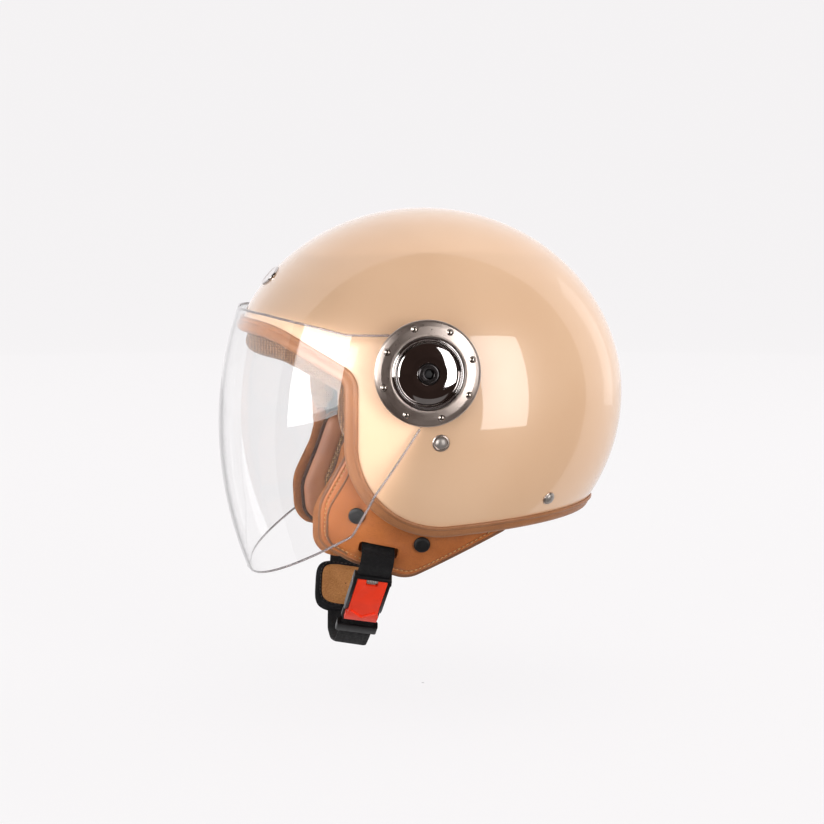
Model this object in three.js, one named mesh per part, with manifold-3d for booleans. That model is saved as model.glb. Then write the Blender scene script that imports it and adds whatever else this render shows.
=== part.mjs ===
// Open face motorcycle helmet: painted shell with a leather edge, moulded foam liner, soft pads,
// a clear tilting visor on two side pivots, and a chin strap with a quick-release buckle.
// Millimetres. +Z is up, -Y is the wearer's front, +X is the wearer's left.
// Shapes are laid out around the shell's centre, then lowered so that the origin is the point
// of the crown pad that the top of the head touches.
import * as THREE from 'three';
import { mergeVertices } from 'three/addons/utils/BufferGeometryUtils.js';
import Module from 'manifold-3d';

const wasm = await Module();
wasm.setup();

// ---------- driving dimensions ----------
const SHELL = { half: 119, length: 136, top: 126, bottom: 131, power: 2.3 };
const SHELL_T = 4;
const FOAM_T = 26;
const CROWN_T = 7.2;
const GAP = 0.4;
const TRIM_WIDTH = 8.8;
const TRIM_WALL = 1.3;
const SHELL_UNDER_TRIM = 7;
const LOWER_TO_CROWN = -(SHELL.top - SHELL_T - FOAM_T - CROWN_T - 2 * GAP);

// The edge of the paint in side view: corners [y, z] and the radius that rounds each one.
const RIM = [
  { y: -170, z: 52, r: 0 },
  { y: -111, z: 52, r: 50 },
  { y: -58.8, z: 20.5, r: 16 },
  { y: -58.8, z: -85.8, r: 57 },
  { y: 170, z: -65.6, r: 0 },
];

const PIVOT = { y: -15, z: 22.5 };
const EAR_INNER_X = 121;
const VISOR_T = 1.8;
const VISOR = { half: 126, arc: 256, arcY: 115.1, arcZ: -24, power: 2.4 };
const PLATE_R = 34.5;
const HUB_R = 6.2;
const BASE_R = 24;
const SCREW_HOLE_R = 2.9;
const SCREW_SHANK_R = 2.6;
const DOT = { count: 8, radius: 29.6, first: 17 };

const SKIRT = { half: 98, length: 150, top: 150, bottom: 165, power: 2.6 };
const SKIRT_T = 3.5;
const HEAD = { half: 87, length: 104, power: 2.8 };

const EXIT = { x: 90, y: -42, z: -97 };
const LOOP_LEAN = THREE.MathUtils.degToRad(9);
const LEG_START = { x: 84, d: 15 };
const LEG_SLOPE = THREE.MathUtils.degToRad(46);
const WEB_W = 22;
const WEB_T = 1.6;

const V = (x, y, z) => new THREE.Vector3(x, y, z);
const deg = THREE.MathUtils.degToRad;

// ---------- materials ----------
const finish = (color, roughness, metalness = 0, extra = {}) =>
  new THREE.MeshStandardMaterial({ color, roughness, metalness, ...extra });
const MAT = {
  paint: finish(0xe6be9e, 0.18),
  edge: finish(0xa16c48, 0.55),
  foam: finish(0x2b2b2d, 0.9),
  mesh: finish(0xa6785a, 0.9),
  leather: finish(0xad652f, 0.5),
  stud: finish(0x1e1d1e, 0.35),
  black: finish(0x17161a, 0.5),
  satin: finish(0xb5a99d, 0.38, 0.9),
  chrome: finish(0xe8e6e4, 0.06, 1),
  steel: finish(0xa8a8a6, 0.3, 1),
  clear: finish(0xf4f6f8, 0.05, 0, { transparent: true, opacity: 0.25 }),
  web: finish(0x120f0c, 0.85),
  suede: finish(0x956e3e, 0.95),
  red: finish(0xdc3421, 0.35),
};

// ---------- solids and booleans ----------
function solid(geometry) {
  const g = geometry.clone();
  g.deleteAttribute('normal');
  if (g.getAttribute('uv')) g.deleteAttribute('uv');
  const m = mergeVertices(g, 1e-4);
  const mesh = new wasm.Mesh({
    numProp: 3,
    vertProperties: new Float32Array(m.getAttribute('position').array),
    triVerts: new Uint32Array(m.getIndex().array),
  });
  return new wasm.Manifold(mesh);
}

function toGeometry(manifold) {
  const mesh = manifold.getMesh();
  const g = new THREE.BufferGeometry();
  g.setAttribute('position', new THREE.BufferAttribute(new Float32Array(mesh.vertProperties), 3));
  g.setIndex(new THREE.BufferAttribute(new Uint32Array(mesh.triVerts), 1));
  g.computeVertexNormals();
  return g;
}

// A closed skin from rings of points between two poles.
function skin(rings, firstPole, lastPole) {
  const n = rings[0].length;
  const position = [];
  const index = [];
  for (const ring of rings) for (const p of ring) position.push(p.x, p.y, p.z);
  const a = position.length / 3;
  position.push(firstPole.x, firstPole.y, firstPole.z, lastPole.x, lastPole.y, lastPole.z);
  for (let i = 0; i < rings.length - 1; i++) {
    for (let j = 0; j < n; j++) {
      const k = (j + 1) % n;
      const [p, q, r, s] = [i * n + j, i * n + k, (i + 1) * n + k, (i + 1) * n + j];
      index.push(p, q, r, p, r, s);
    }
  }
  for (let j = 0; j < n; j++) {
    const k = (j + 1) % n;
    index.push(a, k, j);
    index.push(a + 1, (rings.length - 1) * n + j, (rings.length - 1) * n + k);
  }
  const g = new THREE.BufferGeometry();
  g.setAttribute('position', new THREE.BufferAttribute(new Float32Array(position), 3));
  g.setIndex(index);
  const body = solid(g);
  if (body.volume() > 0) return body;
  g.setIndex(index.reverse());
  return solid(g);
}

const root = (value, power) => Math.sign(value) * Math.abs(value) ** (2 / power);

// Rounded body around the shell's centre, poles on the X axis, grown by `off`.
function ovoid(shape, off, around = 32, along = 14) {
  const rings = [];
  for (let i = 1; i < along; i++) {
    const u = (Math.PI * i) / along;
    const ring = [];
    for (let j = 0; j < around; j++) {
      const v = (2 * Math.PI * j) / around;
      const r = root(Math.sin(u), shape.power);
      const height = Math.sin(v) > 0 ? shape.top : shape.bottom;
      ring.push(V(
        (shape.half + off) * root(Math.cos(u), shape.power),
        (shape.length + off) * r * Math.cos(v),
        (height + off) * r * Math.sin(v),
      ));
    }
    rings.push(ring);
  }
  return skin(rings, V(shape.half + off, 0, 0), V(-shape.half - off, 0, 0));
}

// X of an ovoid's left surface above the point (y, z).
function ovoidX(shape, y, z) {
  const r = Math.hypot(y / shape.length, z / (z > 0 ? shape.top : shape.bottom));
  return shape.half * (1 - r ** shape.power) ** (1 / shape.power);
}

function ovoidNormal(shape, y, z) {
  const e = 0.5;
  const dy = (ovoidX(shape, y + e, z) - ovoidX(shape, y - e, z)) / (2 * e);
  const dz = (ovoidX(shape, y, z + e) - ovoidX(shape, y, z - e)) / (2 * e);
  return V(1, -dy, -dz).normalize();
}

// The room for the head: a rounded dome over upright walls.
function headRoom(off, dome) {
  const around = 30;
  const steps = 5;
  const ring = (scale, z) => {
    const points = [];
    for (let j = 0; j < around; j++) {
      const v = (2 * Math.PI * j) / around;
      points.push(V(
        (HEAD.half + off) * scale * root(Math.cos(v), HEAD.power),
        (HEAD.length + off) * scale * root(Math.sin(v), HEAD.power),
        z,
      ));
    }
    return points;
  };
  const rings = [];
  for (let i = 1; i <= steps; i++) {
    const u = (Math.PI / 2) * (i / steps);
    rings.push(ring(Math.sin(u), (dome + off) * Math.cos(u)));
  }
  rings.push(ring(1, -160));
  return skin(rings, V(0, 0, dome + off), V(0, 0, -160));
}

// ---------- side-view outlines ----------
// Rounded corners between straight runs; returns [y, z] points.
function rounded(corners, step = deg(9)) {
  const points = [];
  corners.forEach((c, i) => {
    if (!c.r) {
      points.push([c.y, c.z]);
      return;
    }
    const before = corners[(i + corners.length - 1) % corners.length];
    const after = corners[(i + 1) % corners.length];
    const a = new THREE.Vector2(before.y - c.y, before.z - c.z).normalize();
    const b = new THREE.Vector2(after.y - c.y, after.z - c.z).normalize();
    const half = Math.acos(THREE.MathUtils.clamp(a.dot(b), -1, 1)) / 2;
    const middle = a.clone().add(b).normalize().multiplyScalar(c.r / Math.sin(half));
    const centre = new THREE.Vector2(c.y, c.z).add(middle);
    const from = new THREE.Vector2(c.y, c.z).addScaledVector(a, c.r / Math.tan(half)).sub(centre);
    const turn = Math.sign(a.cross(b)) * -(Math.PI - 2 * half);
    const n = Math.max(1, Math.ceil(Math.abs(turn) / step));
    for (let k = 0; k <= n; k++) {
      const p = from.clone().rotateAround(new THREE.Vector2(), (turn * k) / n).add(centre);
      points.push([p.x, p.y]);
    }
  });
  return points;
}

// The same run of points moved sideways by `off`, towards the face opening when positive.
function shifted(points, off) {
  return points.map((p, i) => {
    const a = points[Math.max(0, i - 1)];
    const b = points[Math.min(points.length - 1, i + 1)];
    const t = new THREE.Vector2(b[0] - a[0], b[1] - a[1]).normalize();
    return [p[0] + t.y * off, p[1] - t.x * off];
  });
}

// A side-view outline pushed across the helmet from x0 to x1.
function across(points, x0 = -150, x1 = 150) {
  const shape = new THREE.Shape(points.map(([y, z]) => new THREE.Vector2(y, z)));
  const g = new THREE.ExtrudeGeometry(shape, { depth: x1 - x0, bevelEnabled: false });
  g.applyMatrix4(new THREE.Matrix4().makeBasis(V(0, 1, 0), V(0, 0, 1), V(1, 0, 0)));
  g.translate(x0, 0, 0);
  return solid(g);
}

const RIM_LINE = rounded(RIM);

// Everything above and behind the paint's edge moved by `off`.
function covered(off) {
  const line = shifted(RIM_LINE, off);
  return across([...line, [170, 170], [-170, 170]]);
}

function box(x0, x1, y0, y1, z0, z1) {
  const g = new THREE.BoxGeometry(x1 - x0, y1 - y0, z1 - z0);
  g.translate((x0 + x1) / 2, (y0 + y1) / 2, (z0 + z1) / 2);
  return solid(g);
}

// Turned part about +X: profile of [x, radius] from axis to axis or closed.
function turned(profile, segments = 24) {
  const g = new THREE.LatheGeometry(profile.map(([x, r]) => new THREE.Vector2(r, x)), segments);
  g.rotateZ(-Math.PI / 2);
  return orient(g);
}

// Lathes can come out inside out, depending on the profile's direction.
function orient(g) {
  const body = solid(g);
  if (body.volume() >= 0) return body;
  const flipped = mergeVertices(g.clone());
  flipped.setIndex(Array.from(flipped.getIndex().array).reverse());
  return solid(flipped);
}

function barX(x0, x1, r, y, z, segments = 24) {
  return turned([[x0, 0], [x0, r], [x1, r], [x1, 0]], segments).translate([0, y, z]);
}

const place = (body, matrix) => body.transform(matrix.toArray());

// Turns a part made along +X so that it stands on a surface point.
function standing(body, point, normal) {
  const turn = new THREE.Quaternion().setFromUnitVectors(V(1, 0, 0), normal);
  return place(body, new THREE.Matrix4().compose(point, turn, V(1, 1, 1)));
}

const mirrored = (body) => body.mirror([1, 0, 0]);
const largest = (body) => body.decompose().sort((a, b) => b.volume() - a.volume())[0];

// ---------- scene ----------
const group = new THREE.Group();
group.name = 'open_face_helmet';

function addPart(name, body, material) {
  const mesh = new THREE.Mesh(toGeometry(body), material.clone());
  mesh.name = name;
  mesh.position.z = LOWER_TO_CROWN;
  group.add(mesh);
}

function addPair(name, body, material) {
  addPart(`left_${name}`, body, material);
  addPart(`right_${name}`, mirrored(body), material);
}

// ---------- shell, edge and liner ----------
const ANCHOR = { y: -5.5, z: -23, r: 3.2 };
const REAR_RIVET = { y: 70.5, z: -64, r: 2.2 };
const NUT_R = 5;
const DOME = SHELL.top - SHELL_T - FOAM_T - GAP;

function sideHoles(y, z, r, normal) {
  const drill = barX(-14, 14, r, 0, 0, 20);
  const left = standing(drill, V(ovoidX(SHELL, y, z), y, z), normal);
  return left.add(mirrored(left));
}

const SHELL_HOLES = [
  barX(-150, 150, NUT_R + 0.3, PIVOT.y, PIVOT.z, 20),
  sideHoles(ANCHOR.y, ANCHOR.z, ANCHOR.r + 0.3, ovoidNormal(SHELL, ANCHOR.y, ANCHOR.z)),
  sideHoles(REAR_RIVET.y, REAR_RIVET.z, REAR_RIVET.r + 0.3,
    ovoidNormal(SHELL, REAR_RIVET.y, REAR_RIVET.z)),
];

function makeShell() {
  let body = ovoid(SHELL, 0).subtract(ovoid(SHELL, -SHELL_T));
  body = body.intersect(covered(SHELL_UNDER_TRIM));
  for (const hole of SHELL_HOLES) body = body.subtract(hole);
  return body;
}

function rimBand(out, inside, low, high) {
  const wall = ovoid(SHELL, out).subtract(ovoid(SHELL, inside));
  return wall.intersect(covered(high).subtract(covered(low)));
}

function makeTrim() {
  const inside = -SHELL_T - GAP - TRIM_WALL;
  const outer = rimBand(TRIM_WALL + GAP, inside, 0, TRIM_WIDTH);
  const slot = rimBand(GAP, -SHELL_T - GAP, -4, SHELL_UNDER_TRIM + GAP);
  return outer.subtract(slot);
}

function webbingRoom(x0, x1) {
  const sweep = rounded([
    { y: ANCHOR.y - 16, z: ANCHOR.z + 14 },
    { y: ANCHOR.y + 18, z: ANCHOR.z + 14 },
    { y: EXIT.y + 18, z: EXIT.z },
    { y: EXIT.y - 15, z: EXIT.z },
  ]);
  return across(sweep, x0, x1);
}

function makeFoam() {
  let body = ovoid(SHELL, -SHELL_T - GAP).subtract(headRoom(0, DOME));
  body = body.intersect(covered(-1));
  const channel = webbingRoom(80, 150);
  const nutPocket = barX(-150, 150, 12, PIVOT.y, PIVOT.z, 20);
  const inner = box(-96, 96, -150, 150, -150, 150);
  const rearBack = ovoid(SHELL, 2).intersect(sideHoles(REAR_RIVET.y, REAR_RIVET.z, 7,
    ovoidNormal(SHELL, REAR_RIVET.y, REAR_RIVET.z)));
  body = body.subtract(channel).subtract(mirrored(channel));
  return body.subtract(nutPocket.subtract(inner)).subtract(rearBack);
}

const PAD_SHELL = () => headRoom(-GAP, DOME).subtract(headRoom(-CROWN_T, DOME - GAP));

function makeCrownPad() {
  return PAD_SHELL().intersect(box(-100, 100, -110, 110, 62, 120));
}

function makeBrowPad() {
  const front = across([[-120, 34], [-70, 8], [-60, -19], [-32, -19], [-16, 30], [-30, 60], [-120, 60]]);
  return largest(PAD_SHELL().intersect(front).intersect(covered(17)));
}

function makeNeckPad() {
  return PAD_SHELL().intersect(across([[38, -74], [120, -68], [120, -12], [38, -12]]));
}

// ---------- cheek pads and leather skirts ----------
const CHEEK = [
  { y: -60, z: -22, r: 10 },
  { y: -68, z: -45, r: 40 },
  { y: -79, z: -72, r: 24 },
  { y: -77, z: -97, r: 14 },
  { y: -28, z: -110, r: 30 },
  { y: 34, z: -80, r: 14 },
  { y: 34, z: -14, r: 18 },
];
const CHEEK_INNER_X = 58;

function makeCheekPad() {
  const slab = across(rounded(CHEEK, deg(18)), CHEEK_INNER_X, 100);
  const inside = headRoom(-GAP, DOME);
  const underSkirt = ovoid(SKIRT, -SKIRT_T - WEB_T - 2.2);
  return slab.intersect(inside).intersect(underSkirt).subtract(webbingRoom(77.5, 100));
}

const FLAP = [
  { y: -62, z: -30, r: 6 },
  { y: -80, z: -66, r: 30 },
  { y: -80, z: -93, r: 14 },
  { y: -58, z: -105, r: 14 },
  { y: -22, z: -117, r: 18 },
  { y: 42, z: -84, r: 6 },
  { y: 42, z: -66, r: 6 },
  { y: -30, z: -66, r: 20 },
  { y: -52, z: -30, r: 10 },
];
const SLOT_TILT = deg(-12);
const SLOT_Z = -91.6;

function exitSlot() {
  const g = new THREE.BoxGeometry(40, WEB_W + 5, 8);
  g.rotateX(SLOT_TILT);
  g.translate(EXIT.x - 4, EXIT.y, SLOT_Z);
  return solid(g);
}

function makeSkirt() {
  const wall = ovoid(SKIRT, 0).subtract(ovoid(SKIRT, -SKIRT_T));
  let body = wall.intersect(across(rounded(FLAP, deg(15)), 20, 120));
  body = body.subtract(covered(-0.6));
  body = body.subtract(ovoid(SHELL, 6).subtract(ovoid(SHELL, -SHELL_T - GAP - TRIM_WALL - 0.35))
    .intersect(covered(TRIM_WIDTH + 0.4)));
  return largest(body.subtract(exitSlot()));
}

const STUDS = [
  { name: 'front', y: -56.5, z: -73.5 },
  { name: 'rear', y: -13.5, z: -93.4 },
];

function makeStud(at) {
  const cap = turned([[0.3, 0], [0.3, 5.6], [1.6, 5.6], [2.6, 4.4], [2.9, 2.6], [2.9, 0]], 14);
  const x = ovoidX(SKIRT, at.y, at.z);
  return standing(cap, V(x, at.y, at.z), ovoidNormal(SKIRT, at.y, at.z));
}

// ---------- rivets and badge ----------
function makeRivet(at, washer, head, shank) {
  const profile = [
    [-SHELL_T - 3, 0], [-SHELL_T - 3, head], [-SHELL_T - GAP - 1, head],
    [-SHELL_T - GAP - 1, shank], [0.4, shank],
    [0.4, washer], [1.2, washer], [1.2, head], [2.5, head * 0.7], [2.9, 0],
  ];
  const x = ovoidX(SHELL, at.y, at.z);
  return standing(turned(profile, 12), V(x, at.y, at.z), ovoidNormal(SHELL, at.y, at.z));
}

const BADGE = { y: -103.5, z: 78.5 };

function makeBadge() {
  const g = new THREE.CylinderGeometry(1, 1, 60, 28);
  g.scale(16, 1, 8);
  g.rotateX(Math.atan2(-BADGE.z / SHELL.top ** 2, -BADGE.y / SHELL.length ** 2));
  g.translate(0, BADGE.y, BADGE.z);
  return solid(g).intersect(ovoid(SHELL, 1.5).subtract(ovoid(SHELL, GAP)));
}

// ---------- visor and its pivots ----------
// Distance from the pivot to the visor's middle line, for a direction in side view.
function visorReach(angle, off) {
  const dy = Math.cos(angle);
  const dz = Math.sin(angle);
  const py = PIVOT.y - VISOR.arcY;
  const pz = PIVOT.z - VISOR.arcZ;
  const b = py * dy + pz * dz;
  const c = py * py + pz * pz - (VISOR.arc + off) ** 2;
  return -b + Math.sqrt(b * b - c);
}

function bubble(off) {
  const around = 32;
  const along = 14;
  const rings = [];
  for (let i = 1; i < along; i++) {
    const u = (Math.PI * i) / along;
    const ring = [];
    for (let j = 0; j < around; j++) {
      const v = (2 * Math.PI * j) / around;
      const r = visorReach(v, off) * root(Math.sin(u), VISOR.power);
      const x = (VISOR.half + off) * root(Math.cos(u), VISOR.power);
      ring.push(V(x, PIVOT.y + r * Math.cos(v), PIVOT.z + r * Math.sin(v)));
    }
    rings.push(ring);
  }
  const pole = V(VISOR.half + off, PIVOT.y, PIVOT.z);
  const body = skin(rings, pole, V(-pole.x, pole.y, pole.z));
  const flat = EAR_INNER_X + VISOR_T + off;
  return body.intersect(box(-flat, flat, -200, 500, -400, 400));
}

const EAR_R = 31;

function visorOutline() {
  const points = [[-170, 62.5], [-115, 57.5], [-90, 52.5], [-66, 46.8], [-40, 46.8]];
  const start = Math.atan2(24, -20);
  const end = deg(-105);
  for (let k = 0; k <= 16; k++) {
    const a = start + ((end - start) * k) / 16;
    points.push([PIVOT.y + EAR_R * Math.cos(a), PIVOT.z + EAR_R * Math.sin(a)]);
  }
  const rear = [
    { y: -24, z: -20, r: 0 },
    { y: -38, z: -41, r: 0 },
    { y: -48, z: -56, r: 0 },
    { y: -62, z: -83.5, r: 7 },
    { y: -170, z: -149.5, r: 0 },
  ];
  return [...points, ...rounded(rear)];
}

function makeVisor() {
  const wall = bubble(0).subtract(bubble(-VISOR_T));
  const body = wall.intersect(across(visorOutline()));
  return body.subtract(barX(-150, 150, HUB_R + 0.18, PIVOT.y, PIVOT.z));
}

const EAR_OUT = EAR_INNER_X + VISOR_T;

function makePivotBase() {
  const disc = barX(104, EAR_INNER_X - 0.35, BASE_R, PIVOT.y, PIVOT.z)
    .subtract(ovoid(SHELL, 0.35));
  const hub = barX(EAR_INNER_X - 1, EAR_OUT + 0.4, HUB_R, PIVOT.y, PIVOT.z);
  return disc.add(hub).subtract(barX(100, 140, SCREW_HOLE_R, PIVOT.y, PIVOT.z, 20));
}

function makePivotNut() {
  const flange = barX(107.5, 109.2, 10.5, PIVOT.y, PIVOT.z, 20);
  const barrel = barX(107.5, 116.9, NUT_R, PIVOT.y, PIVOT.z, 16);
  return flange.add(barrel).subtract(barX(100, 140, SCREW_HOLE_R, PIVOT.y, PIVOT.z, 20));
}

const PLATE_BACK = EAR_OUT + 0.8;

function makeSidePlate() {
  const p = PLATE_BACK;
  const ring = turned([
    [p, 3.2], [p, PLATE_R], [p + 1, PLATE_R], [p + 2.2, PLATE_R - 1.6],
    [p + 3.6, 24.5], [p + 3.6, 23.6], [p + 2, 23.6], [p + 2, 3.2], [p, 3.2],
  ], 28);
  let body = ring.translate([0, PIVOT.y, PIVOT.z]);
  for (let k = 0; k < DOT.count; k++) {
    const a = deg(DOT.first + (360 / DOT.count) * k);
    const dot = turned([[0, 0], [0, 2.3], [0.9, 2], [1.45, 0]], 6);
    const at = [p + 2.6, PIVOT.y + DOT.radius * Math.cos(a), PIVOT.z + DOT.radius * Math.sin(a)];
    body = body.add(dot.translate(at));
  }
  return body;
}

function makeStepRing() {
  const p = PLATE_BACK + 2 + 0.3;
  return turned([
    [p, 20.6], [p, 23.2], [p + 2.2, 23.2], [p + 2.9, 22.2], [p + 2.2, 20.6], [p, 20.6],
  ], 24).translate([0, PIVOT.y, PIVOT.z]);
}

function makeDome() {
  const p = PLATE_BACK + 2 + 0.3;
  return turned([
    [p, 7.4], [p, 20.2], [p + 1.2, 20.2], [p + 2.8, 16.5], [p + 4.2, 7.4],
    [p, 7.4],
  ], 24).translate([0, PIVOT.y, PIVOT.z]);
}

function makePivotScrew() {
  const p = PLATE_BACK + 2 + 0.35;
  const hex = new THREE.CylinderGeometry(2.6, 2.6, 6, 6);
  hex.rotateZ(Math.PI / 2);
  hex.translate(p + 6, 0, 0);
  const body = turned([
    [108, 0], [108, SCREW_SHANK_R], [p, SCREW_SHANK_R], [p, 7], [p + 3.6, 7], [p + 4.6, 6], [p + 4.6, 0],
  ], 24).subtract(solid(hex));
  return body.translate([0, PIVOT.y, PIVOT.z]);
}

// ---------- chin strap ----------
// The fastened loop hangs in a plane through the two exits that leans forward. Points in that
// plane are [x, depth below the exits]; `w` runs across the webbing.
const LOOP = new THREE.Matrix4().makeBasis(
  V(1, 0, 0),
  V(0, -Math.sin(LOOP_LEAN), -Math.cos(LOOP_LEAN)),
  V(0, Math.cos(LOOP_LEAN), -Math.sin(LOOP_LEAN)),
).setPosition(0, EXIT.y, EXIT.z);

function loopSolid(points, width, shiftW = 0) {
  const shape = new THREE.Shape(points.map(([x, d]) => new THREE.Vector2(x, d)));
  const g = new THREE.ExtrudeGeometry(shape, { depth: width, bevelEnabled: false });
  g.translate(0, 0, shiftW - width / 2);
  g.applyMatrix4(LOOP);
  return orient(g);
}

function ribbon(points, thickness, width) {
  const half = thickness / 2;
  const side = shifted(points, half);
  const other = shifted(points, -half).reverse();
  return loopSolid([...side, ...other], width);
}

// A point on the left leg: `s` along it from its start, `n` out from its middle plane.
function legPoint(s, n = 0) {
  const cs = Math.cos(LEG_SLOPE);
  const sn = Math.sin(LEG_SLOPE);
  return [LEG_START.x - cs * s + sn * n, LEG_START.d + sn * s + cs * n];
}

function legBlock(s0, s1, n0, n1, width, shiftW = 0) {
  const corners = [legPoint(s0, n0), legPoint(s1, n0), legPoint(s1, n1), legPoint(s0, n1)];
  return loopSolid(corners, width, shiftW);
}

function legBar(s, n, r, width, segments = 14) {
  const [cx, cd] = legPoint(s, n);
  const points = [];
  for (let k = 0; k < segments; k++) {
    const a = (2 * Math.PI * k) / segments;
    points.push([cx + r * Math.cos(a), cd + r * Math.sin(a)]);
  }
  return loopSolid(points, width);
}

const HOUSING = { from: 4, to: 42, width: 25, low: -4, high: 3.6 };
const PIN = { s: 8.5, n: 1.4, r: 1.4 };
const LEVER_REST = 50;
const TONGUE_TOP = 17;

// The strap starts beside the webbing that comes out of the leather.
const STRAP_TOP = [EXIT.x + 2.2, 0.8];
const STRAP_BEND = [88, 8];

function makeLeftStrap() {
  return ribbon([STRAP_TOP, STRAP_BEND, legPoint(0), legPoint(HOUSING.from - 0.4)], WEB_T, WEB_W);
}

function makeHousing() {
  const h = HOUSING;
  return legBlock(h.from, h.to, h.low, h.high, h.width)
    .subtract(legBlock(h.from + 1.5, h.to + 2, -0.9, h.high + 2, h.width - 4))
    .subtract(legBlock(TONGUE_TOP - 1, h.to + 2, -2.7, 0, h.width - 6))
    .subtract(legBar(PIN.s, PIN.n, PIN.r + 0.15, h.width + 4));
}

function makePin() {
  return legBar(PIN.s, PIN.n, PIN.r, HOUSING.width - 0.4);
}

function makeLever() {
  const w = HOUSING.width - 4.8;
  const wide = legBlock(HOUSING.to + 1, LEVER_REST, 0.9, 5, HOUSING.width - 3);
  const ridge = (s) => legBlock(s, s + 1.4, 4.6, 6, w - 3);
  const body = legBlock(PIN.s - 2, LEVER_REST - 1, 0.4, 3.9, w).add(wide)
    .add(legBlock(34, LEVER_REST, 3.5, 5, w)).add(ridge(40)).add(ridge(43.5)).add(ridge(47));
  const springRoom = legBar(PIN.s, PIN.n, 2.9, 8);
  return body.subtract(legBar(PIN.s, PIN.n, PIN.r + 0.2, 40)).subtract(springRoom)
    .subtract(legBlock(PIN.s - 3, PIN.s, -3, 6, 8));
}

function makeLeverSpring() {
  return legBar(PIN.s, PIN.n, 2.2, 6.6).subtract(legBar(PIN.s, PIN.n, PIN.r + 0.2, 12));
}

function makeTongue() {
  const top = TONGUE_TOP;
  const profile = [[top, -2.3], [top + 32, -2.3], [top + 32, -1]];
  for (let k = 7; k >= 0; k--) {
    const s = top + 4 + 2.6 * k;
    profile.push([s + 2.6, -1], [s, -0.35]);
  }
  profile.push([top, -1]);
  const blade = loopSolid(profile.map(([s, n]) => legPoint(s, n)), HOUSING.width - 7.5);
  const head = legBlock(HOUSING.to + 1, HOUSING.to + 13, -2.3, -0.3, HOUSING.width);
  return blade.add(head).subtract(legBlock(HOUSING.to + 7, HOUSING.to + 10.5, -6, 4, WEB_W + 0.6));
}

const KEEPER = { from: 59, to: 66 };
const TAIL_TOP = HOUSING.to + 13.5;

function makeKeeper() {
  return legBlock(KEEPER.from, KEEPER.to, -3, 3, WEB_W + 6)
    .subtract(legBlock(KEEPER.from - 1, KEEPER.to + 1, -1.3, 1.3, WEB_W + 1));
}

function makeRightStrap() {
  const leg = [legPoint(TAIL_TOP), legPoint(72), legPoint(78, -1)];
  const far = leg.map(([x, d]) => [-x, d]).reverse();
  const top = [legPoint(0), STRAP_BEND, STRAP_TOP].map(([x, d]) => [-x, d]);
  const low = [[22, 75.5], [0, 78], [-22, 75.5]];
  return ribbon([...leg, ...low, ...far.slice(0, 2), ...top], WEB_T, WEB_W);
}

const CHIN_PAD = { from: 28, to: 70, width: 42 };

function makeChinPad() {
  const c = CHIN_PAD;
  const outline = [
    [c.from, -2], [c.from + 4, -7], [c.to - 4, -7], [c.to, -2], [c.to, 1.5], [c.to - 3, 3.4],
    [c.from + 3, 3.4], [c.from, 1.5],
  ];
  const pad = loopSolid(outline.map(([s, n]) => legPoint(s, n)), c.width);
  const sleeve = legBlock(c.from - 1, c.to + 1, -1.4, 1.4, WEB_W + 1.4);
  return mirrored(pad.subtract(sleeve));
}

// Webbing from the anchor rivet, under the foam, down to the slot in the leather.
function makeUpperWebbing() {
  const top = V(ovoidX(SHELL, ANCHOR.y, ANCHOR.z) - SHELL_T - 4.4, ANCHOR.y, ANCHOR.z);
  const path = [top, V(85.4, -29, -60), V(82.6, -35, -76), V(80.6, -41, -88)];
  path.push(V(EXIT.x - 0.8, EXIT.y, EXIT.z + 1.2));
  const wide = V(0, Math.cos(deg(12)), -Math.sin(deg(12))).multiplyScalar(WEB_W / 2);
  const rings = path.map((p, i) => {
    const t = path[Math.min(i + 1, path.length - 1)].clone().sub(path[Math.max(i - 1, 0)]);
    const n = t.clone().cross(wide).normalize().multiplyScalar(WEB_T / 2);
    return [
      p.clone().add(wide).add(n), p.clone().sub(wide).add(n),
      p.clone().sub(wide).sub(n), p.clone().add(wide).sub(n),
    ];
  });
  const mean = (ring) => ring.reduce((a, q) => a.add(q), V(0, 0, 0)).divideScalar(4);
  return skin(rings, mean(rings[0]), mean(rings[rings.length - 1]));
}

// ---------- assembly ----------
addPart('outer_shell', makeShell(), MAT.paint);
addPart('edge_trim', makeTrim(), MAT.edge);
addPart('foam_liner', makeFoam(), MAT.foam);
addPart('crown_pad', makeCrownPad(), MAT.mesh);
addPart('brow_pad', makeBrowPad(), MAT.mesh);
addPart('neck_pad', makeNeckPad(), MAT.mesh);
addPair('cheek_pad', makeCheekPad(), MAT.suede);
addPair('cheek_skirt', makeSkirt(), MAT.leather);
for (const at of STUDS) addPair(`${at.name}_stud`, makeStud(at), MAT.stud);
addPair('strap_rivet', makeRivet(ANCHOR, 5.6, 4, ANCHOR.r), MAT.satin);
addPair('rear_rivet', makeRivet(REAR_RIVET, 4.4, 3.8, REAR_RIVET.r), MAT.satin);
addPart('front_badge', makeBadge(), MAT.chrome);
addPair('pivot_base', makePivotBase(), MAT.black);
addPair('pivot_nut', makePivotNut(), MAT.steel);
addPart('visor', makeVisor(), MAT.clear);
addPair('side_plate', makeSidePlate(), MAT.satin);
addPair('step_ring', makeStepRing(), MAT.chrome);
addPair('plate_dome', makeDome(), MAT.chrome);
addPair('pivot_screw', makePivotScrew(), MAT.steel);
addPair('upper_webbing', makeUpperWebbing(), MAT.web);
addPart('left_strap', makeLeftStrap(), MAT.web);
addPart('buckle_housing', makeHousing(), MAT.black);
addPart('lever_pin', makePin(), MAT.steel);
addPart('lever_spring', makeLeverSpring(), MAT.steel);
addPart('release_lever', makeLever(), MAT.red);
addPart('buckle_tongue', makeTongue(), MAT.steel);
addPart('strap_keeper', makeKeeper(), MAT.black);
addPart('right_strap', makeRightStrap(), MAT.web);
addPart('chin_pad', makeChinPad(), MAT.suede);

export default group;
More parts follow.
